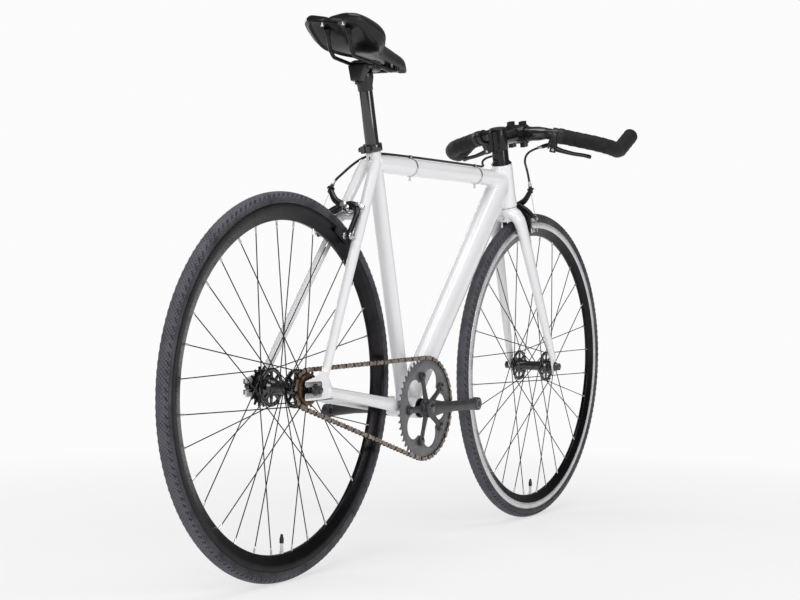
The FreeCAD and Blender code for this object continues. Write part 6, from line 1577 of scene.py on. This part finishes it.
def make_rest():
    rows = [
        (gloss_black, EDGE_ROUND, "seatpost", "seat_clamp"),
        (stem_black, EDGE_ROUND, "stem", "stem_faceplate", "headset_cover", "handlebar"),
        (satin_black, EDGE_ROUND, "lever_brackets"),
        (bright_steel, EDGE_ROUND, "front_brake_bolt", "rear_brake_bolt"),
        (ring_grey, FINE_EDGE, "chainring"),
        (nut_steel, BOLT_EDGE, "crank_bolts"),
        (bronze, TOOTH_EDGE, "freewheel_sprocket"),
        (dark_steel, FINE_EDGE, "freewheel_core"),
        (dark_steel, TOOTH_EDGE, "fixed_cog"),
        (dark_steel, FINE_EDGE, "crank_spindle", "bottom_bracket_cartridge"),
        (dark_steel, FINE_EDGE, "headset_bearings", "fork_steerer"),
        (nut_steel, EDGE_ROUND, "front_axle", "rear_axle"),
        (dark_steel, FINE_EDGE, "stem_bolts"),
        (bright_steel, CLIP_EDGE, "cable_clips"),
        (black_plastic, EDGE_ROUND, "bar_plugs"),
        (dark_steel, 0, "saddle_rails"),
    ]
    for finish, edge, *members in rows:
        for node in members:
            dress(node, finish, edge)


# Floor, light and camera

def make_stage():
    """A pale floor that runs out to the white of the backdrop."""
    floor_mesh = bpy.data.meshes.new("floor")
    corners = [(x * FLOOR_REACH, y * FLOOR_REACH, 0) for x, y in SQUARE]
    floor_mesh.from_pydata(corners, [], [(0, 1, 2, 3)])
    floor = placed("floor", floor_mesh)
    f = Finish("pale_floor", 0.9, Specular_IOR_Level=0.1)
    f.colour(f.ramp(f.noise(3), (0.3, (0.90, 0.90, 0.90)), (0.7, (0.92, 0.92, 0.92))))
    length = add(f.tree, "VectorMath", {"operation": "LENGTH"}, Vector=f.coords.outputs["Object"])
    away = length.outputs["Value"]
    near_share = 0.62
    fade = add(f.tree, "MapRange", Value=away, From_Min=FADE_NEAR, From_Max=FADE_FAR, To_Min=near_share)
    glow = add(f.tree, "Emission", Strength=BACKDROP)
    both = add(f.tree, "MixShader", Fac=fade.outputs[0])
    f.tree.links.new(f.shader.outputs[0], both.inputs[1])
    f.tree.links.new(glow.outputs[0], both.inputs[2])
    f.tree.links.new(both.outputs[0], f.tree.nodes["Material Output"].inputs["Surface"])
    floor_mesh.materials.append(f.material)

    world = bpy.data.worlds.new("studio")
    bpy.context.scene.world = world
    world.use_nodes = True
    tree = world.node_tree
    back = tree.nodes["Background"]
    seen = add(tree, "LightPath").outputs["Is Camera Ray"]
    level = add(tree, "MapRange", Value=seen, To_Min=FILL_LIGHT, To_Max=BACKDROP)
    feed(tree, back.inputs["Strength"], level.outputs[0])
    feed(tree, back.inputs["Color"], (1, 1, 1, 1))


def make_lamps():
    for name, (spot, size, power) in LAMPS.items():
        data = bpy.data.lights.new(name, "AREA")
        data.shape = "RECTANGLE"
        data.size, data.size_y = size
        data.energy = power
        lamp = placed(name, data)
        lamp.location = spot
        lamp.rotation_euler = (Vector(LAMP_AIM) - Vector(spot)).to_track_quat("-Z", "Y").to_euler()


def make_camera():
    flat = Vector((math.cos(CAMERA_AZIMUTH), math.sin(CAMERA_AZIMUTH), 0))
    look = flat * math.cos(CAMERA_ELEVATION) - UP * math.sin(CAMERA_ELEVATION)
    side = flat.cross(UP)
    down = look.cross(side)
    right = side * math.cos(CAMERA_ROLL) + down * math.sin(CAMERA_ROLL)
    top = side * math.sin(CAMERA_ROLL) - down * math.cos(CAMERA_ROLL)
    data = bpy.data.cameras.new("photo_camera")
    data.sensor_width = CAMERA_SENSOR
    data.lens = CAMERA_LENS
    data.shift_x, data.shift_y = CAMERA_SHIFT
    camera = placed("photo_camera", data)
    turned = Matrix((right, top, -look)).transposed().to_4x4()
    camera.matrix_world = Matrix.Translation(CAMERA_SPOT) @ turned
    bpy.context.scene.camera = camera


make_camera()
make_cables()
make_wheels()
make_chain()
make_tape()
make_saddle()
make_saddle_shell()
make_saddle_clamp()
make_frame()
make_fork()
make_dropout_plates()
make_hub("front", front_axle, FRONT_FLANGE, *FRONT_HUB)
make_hub("rear", rear_axle, REAR_FLANGE, *REAR_HUB)
make_brake("front", front_axle, front_bolt)
make_brake("rear", rear_axle, rear_bolt)
make_bar_sleeve()
make_lever("left_lever", 1)
make_lever("right_lever", -1)
make_crank("right_crank_arm", -LEFT, AHEAD, 5)
make_crank("left_crank_arm", LEFT, -AHEAD, 0)
make_rest()
make_stage()
make_lamps()
bpy.context.scene.view_settings.view_transform = "Standard"
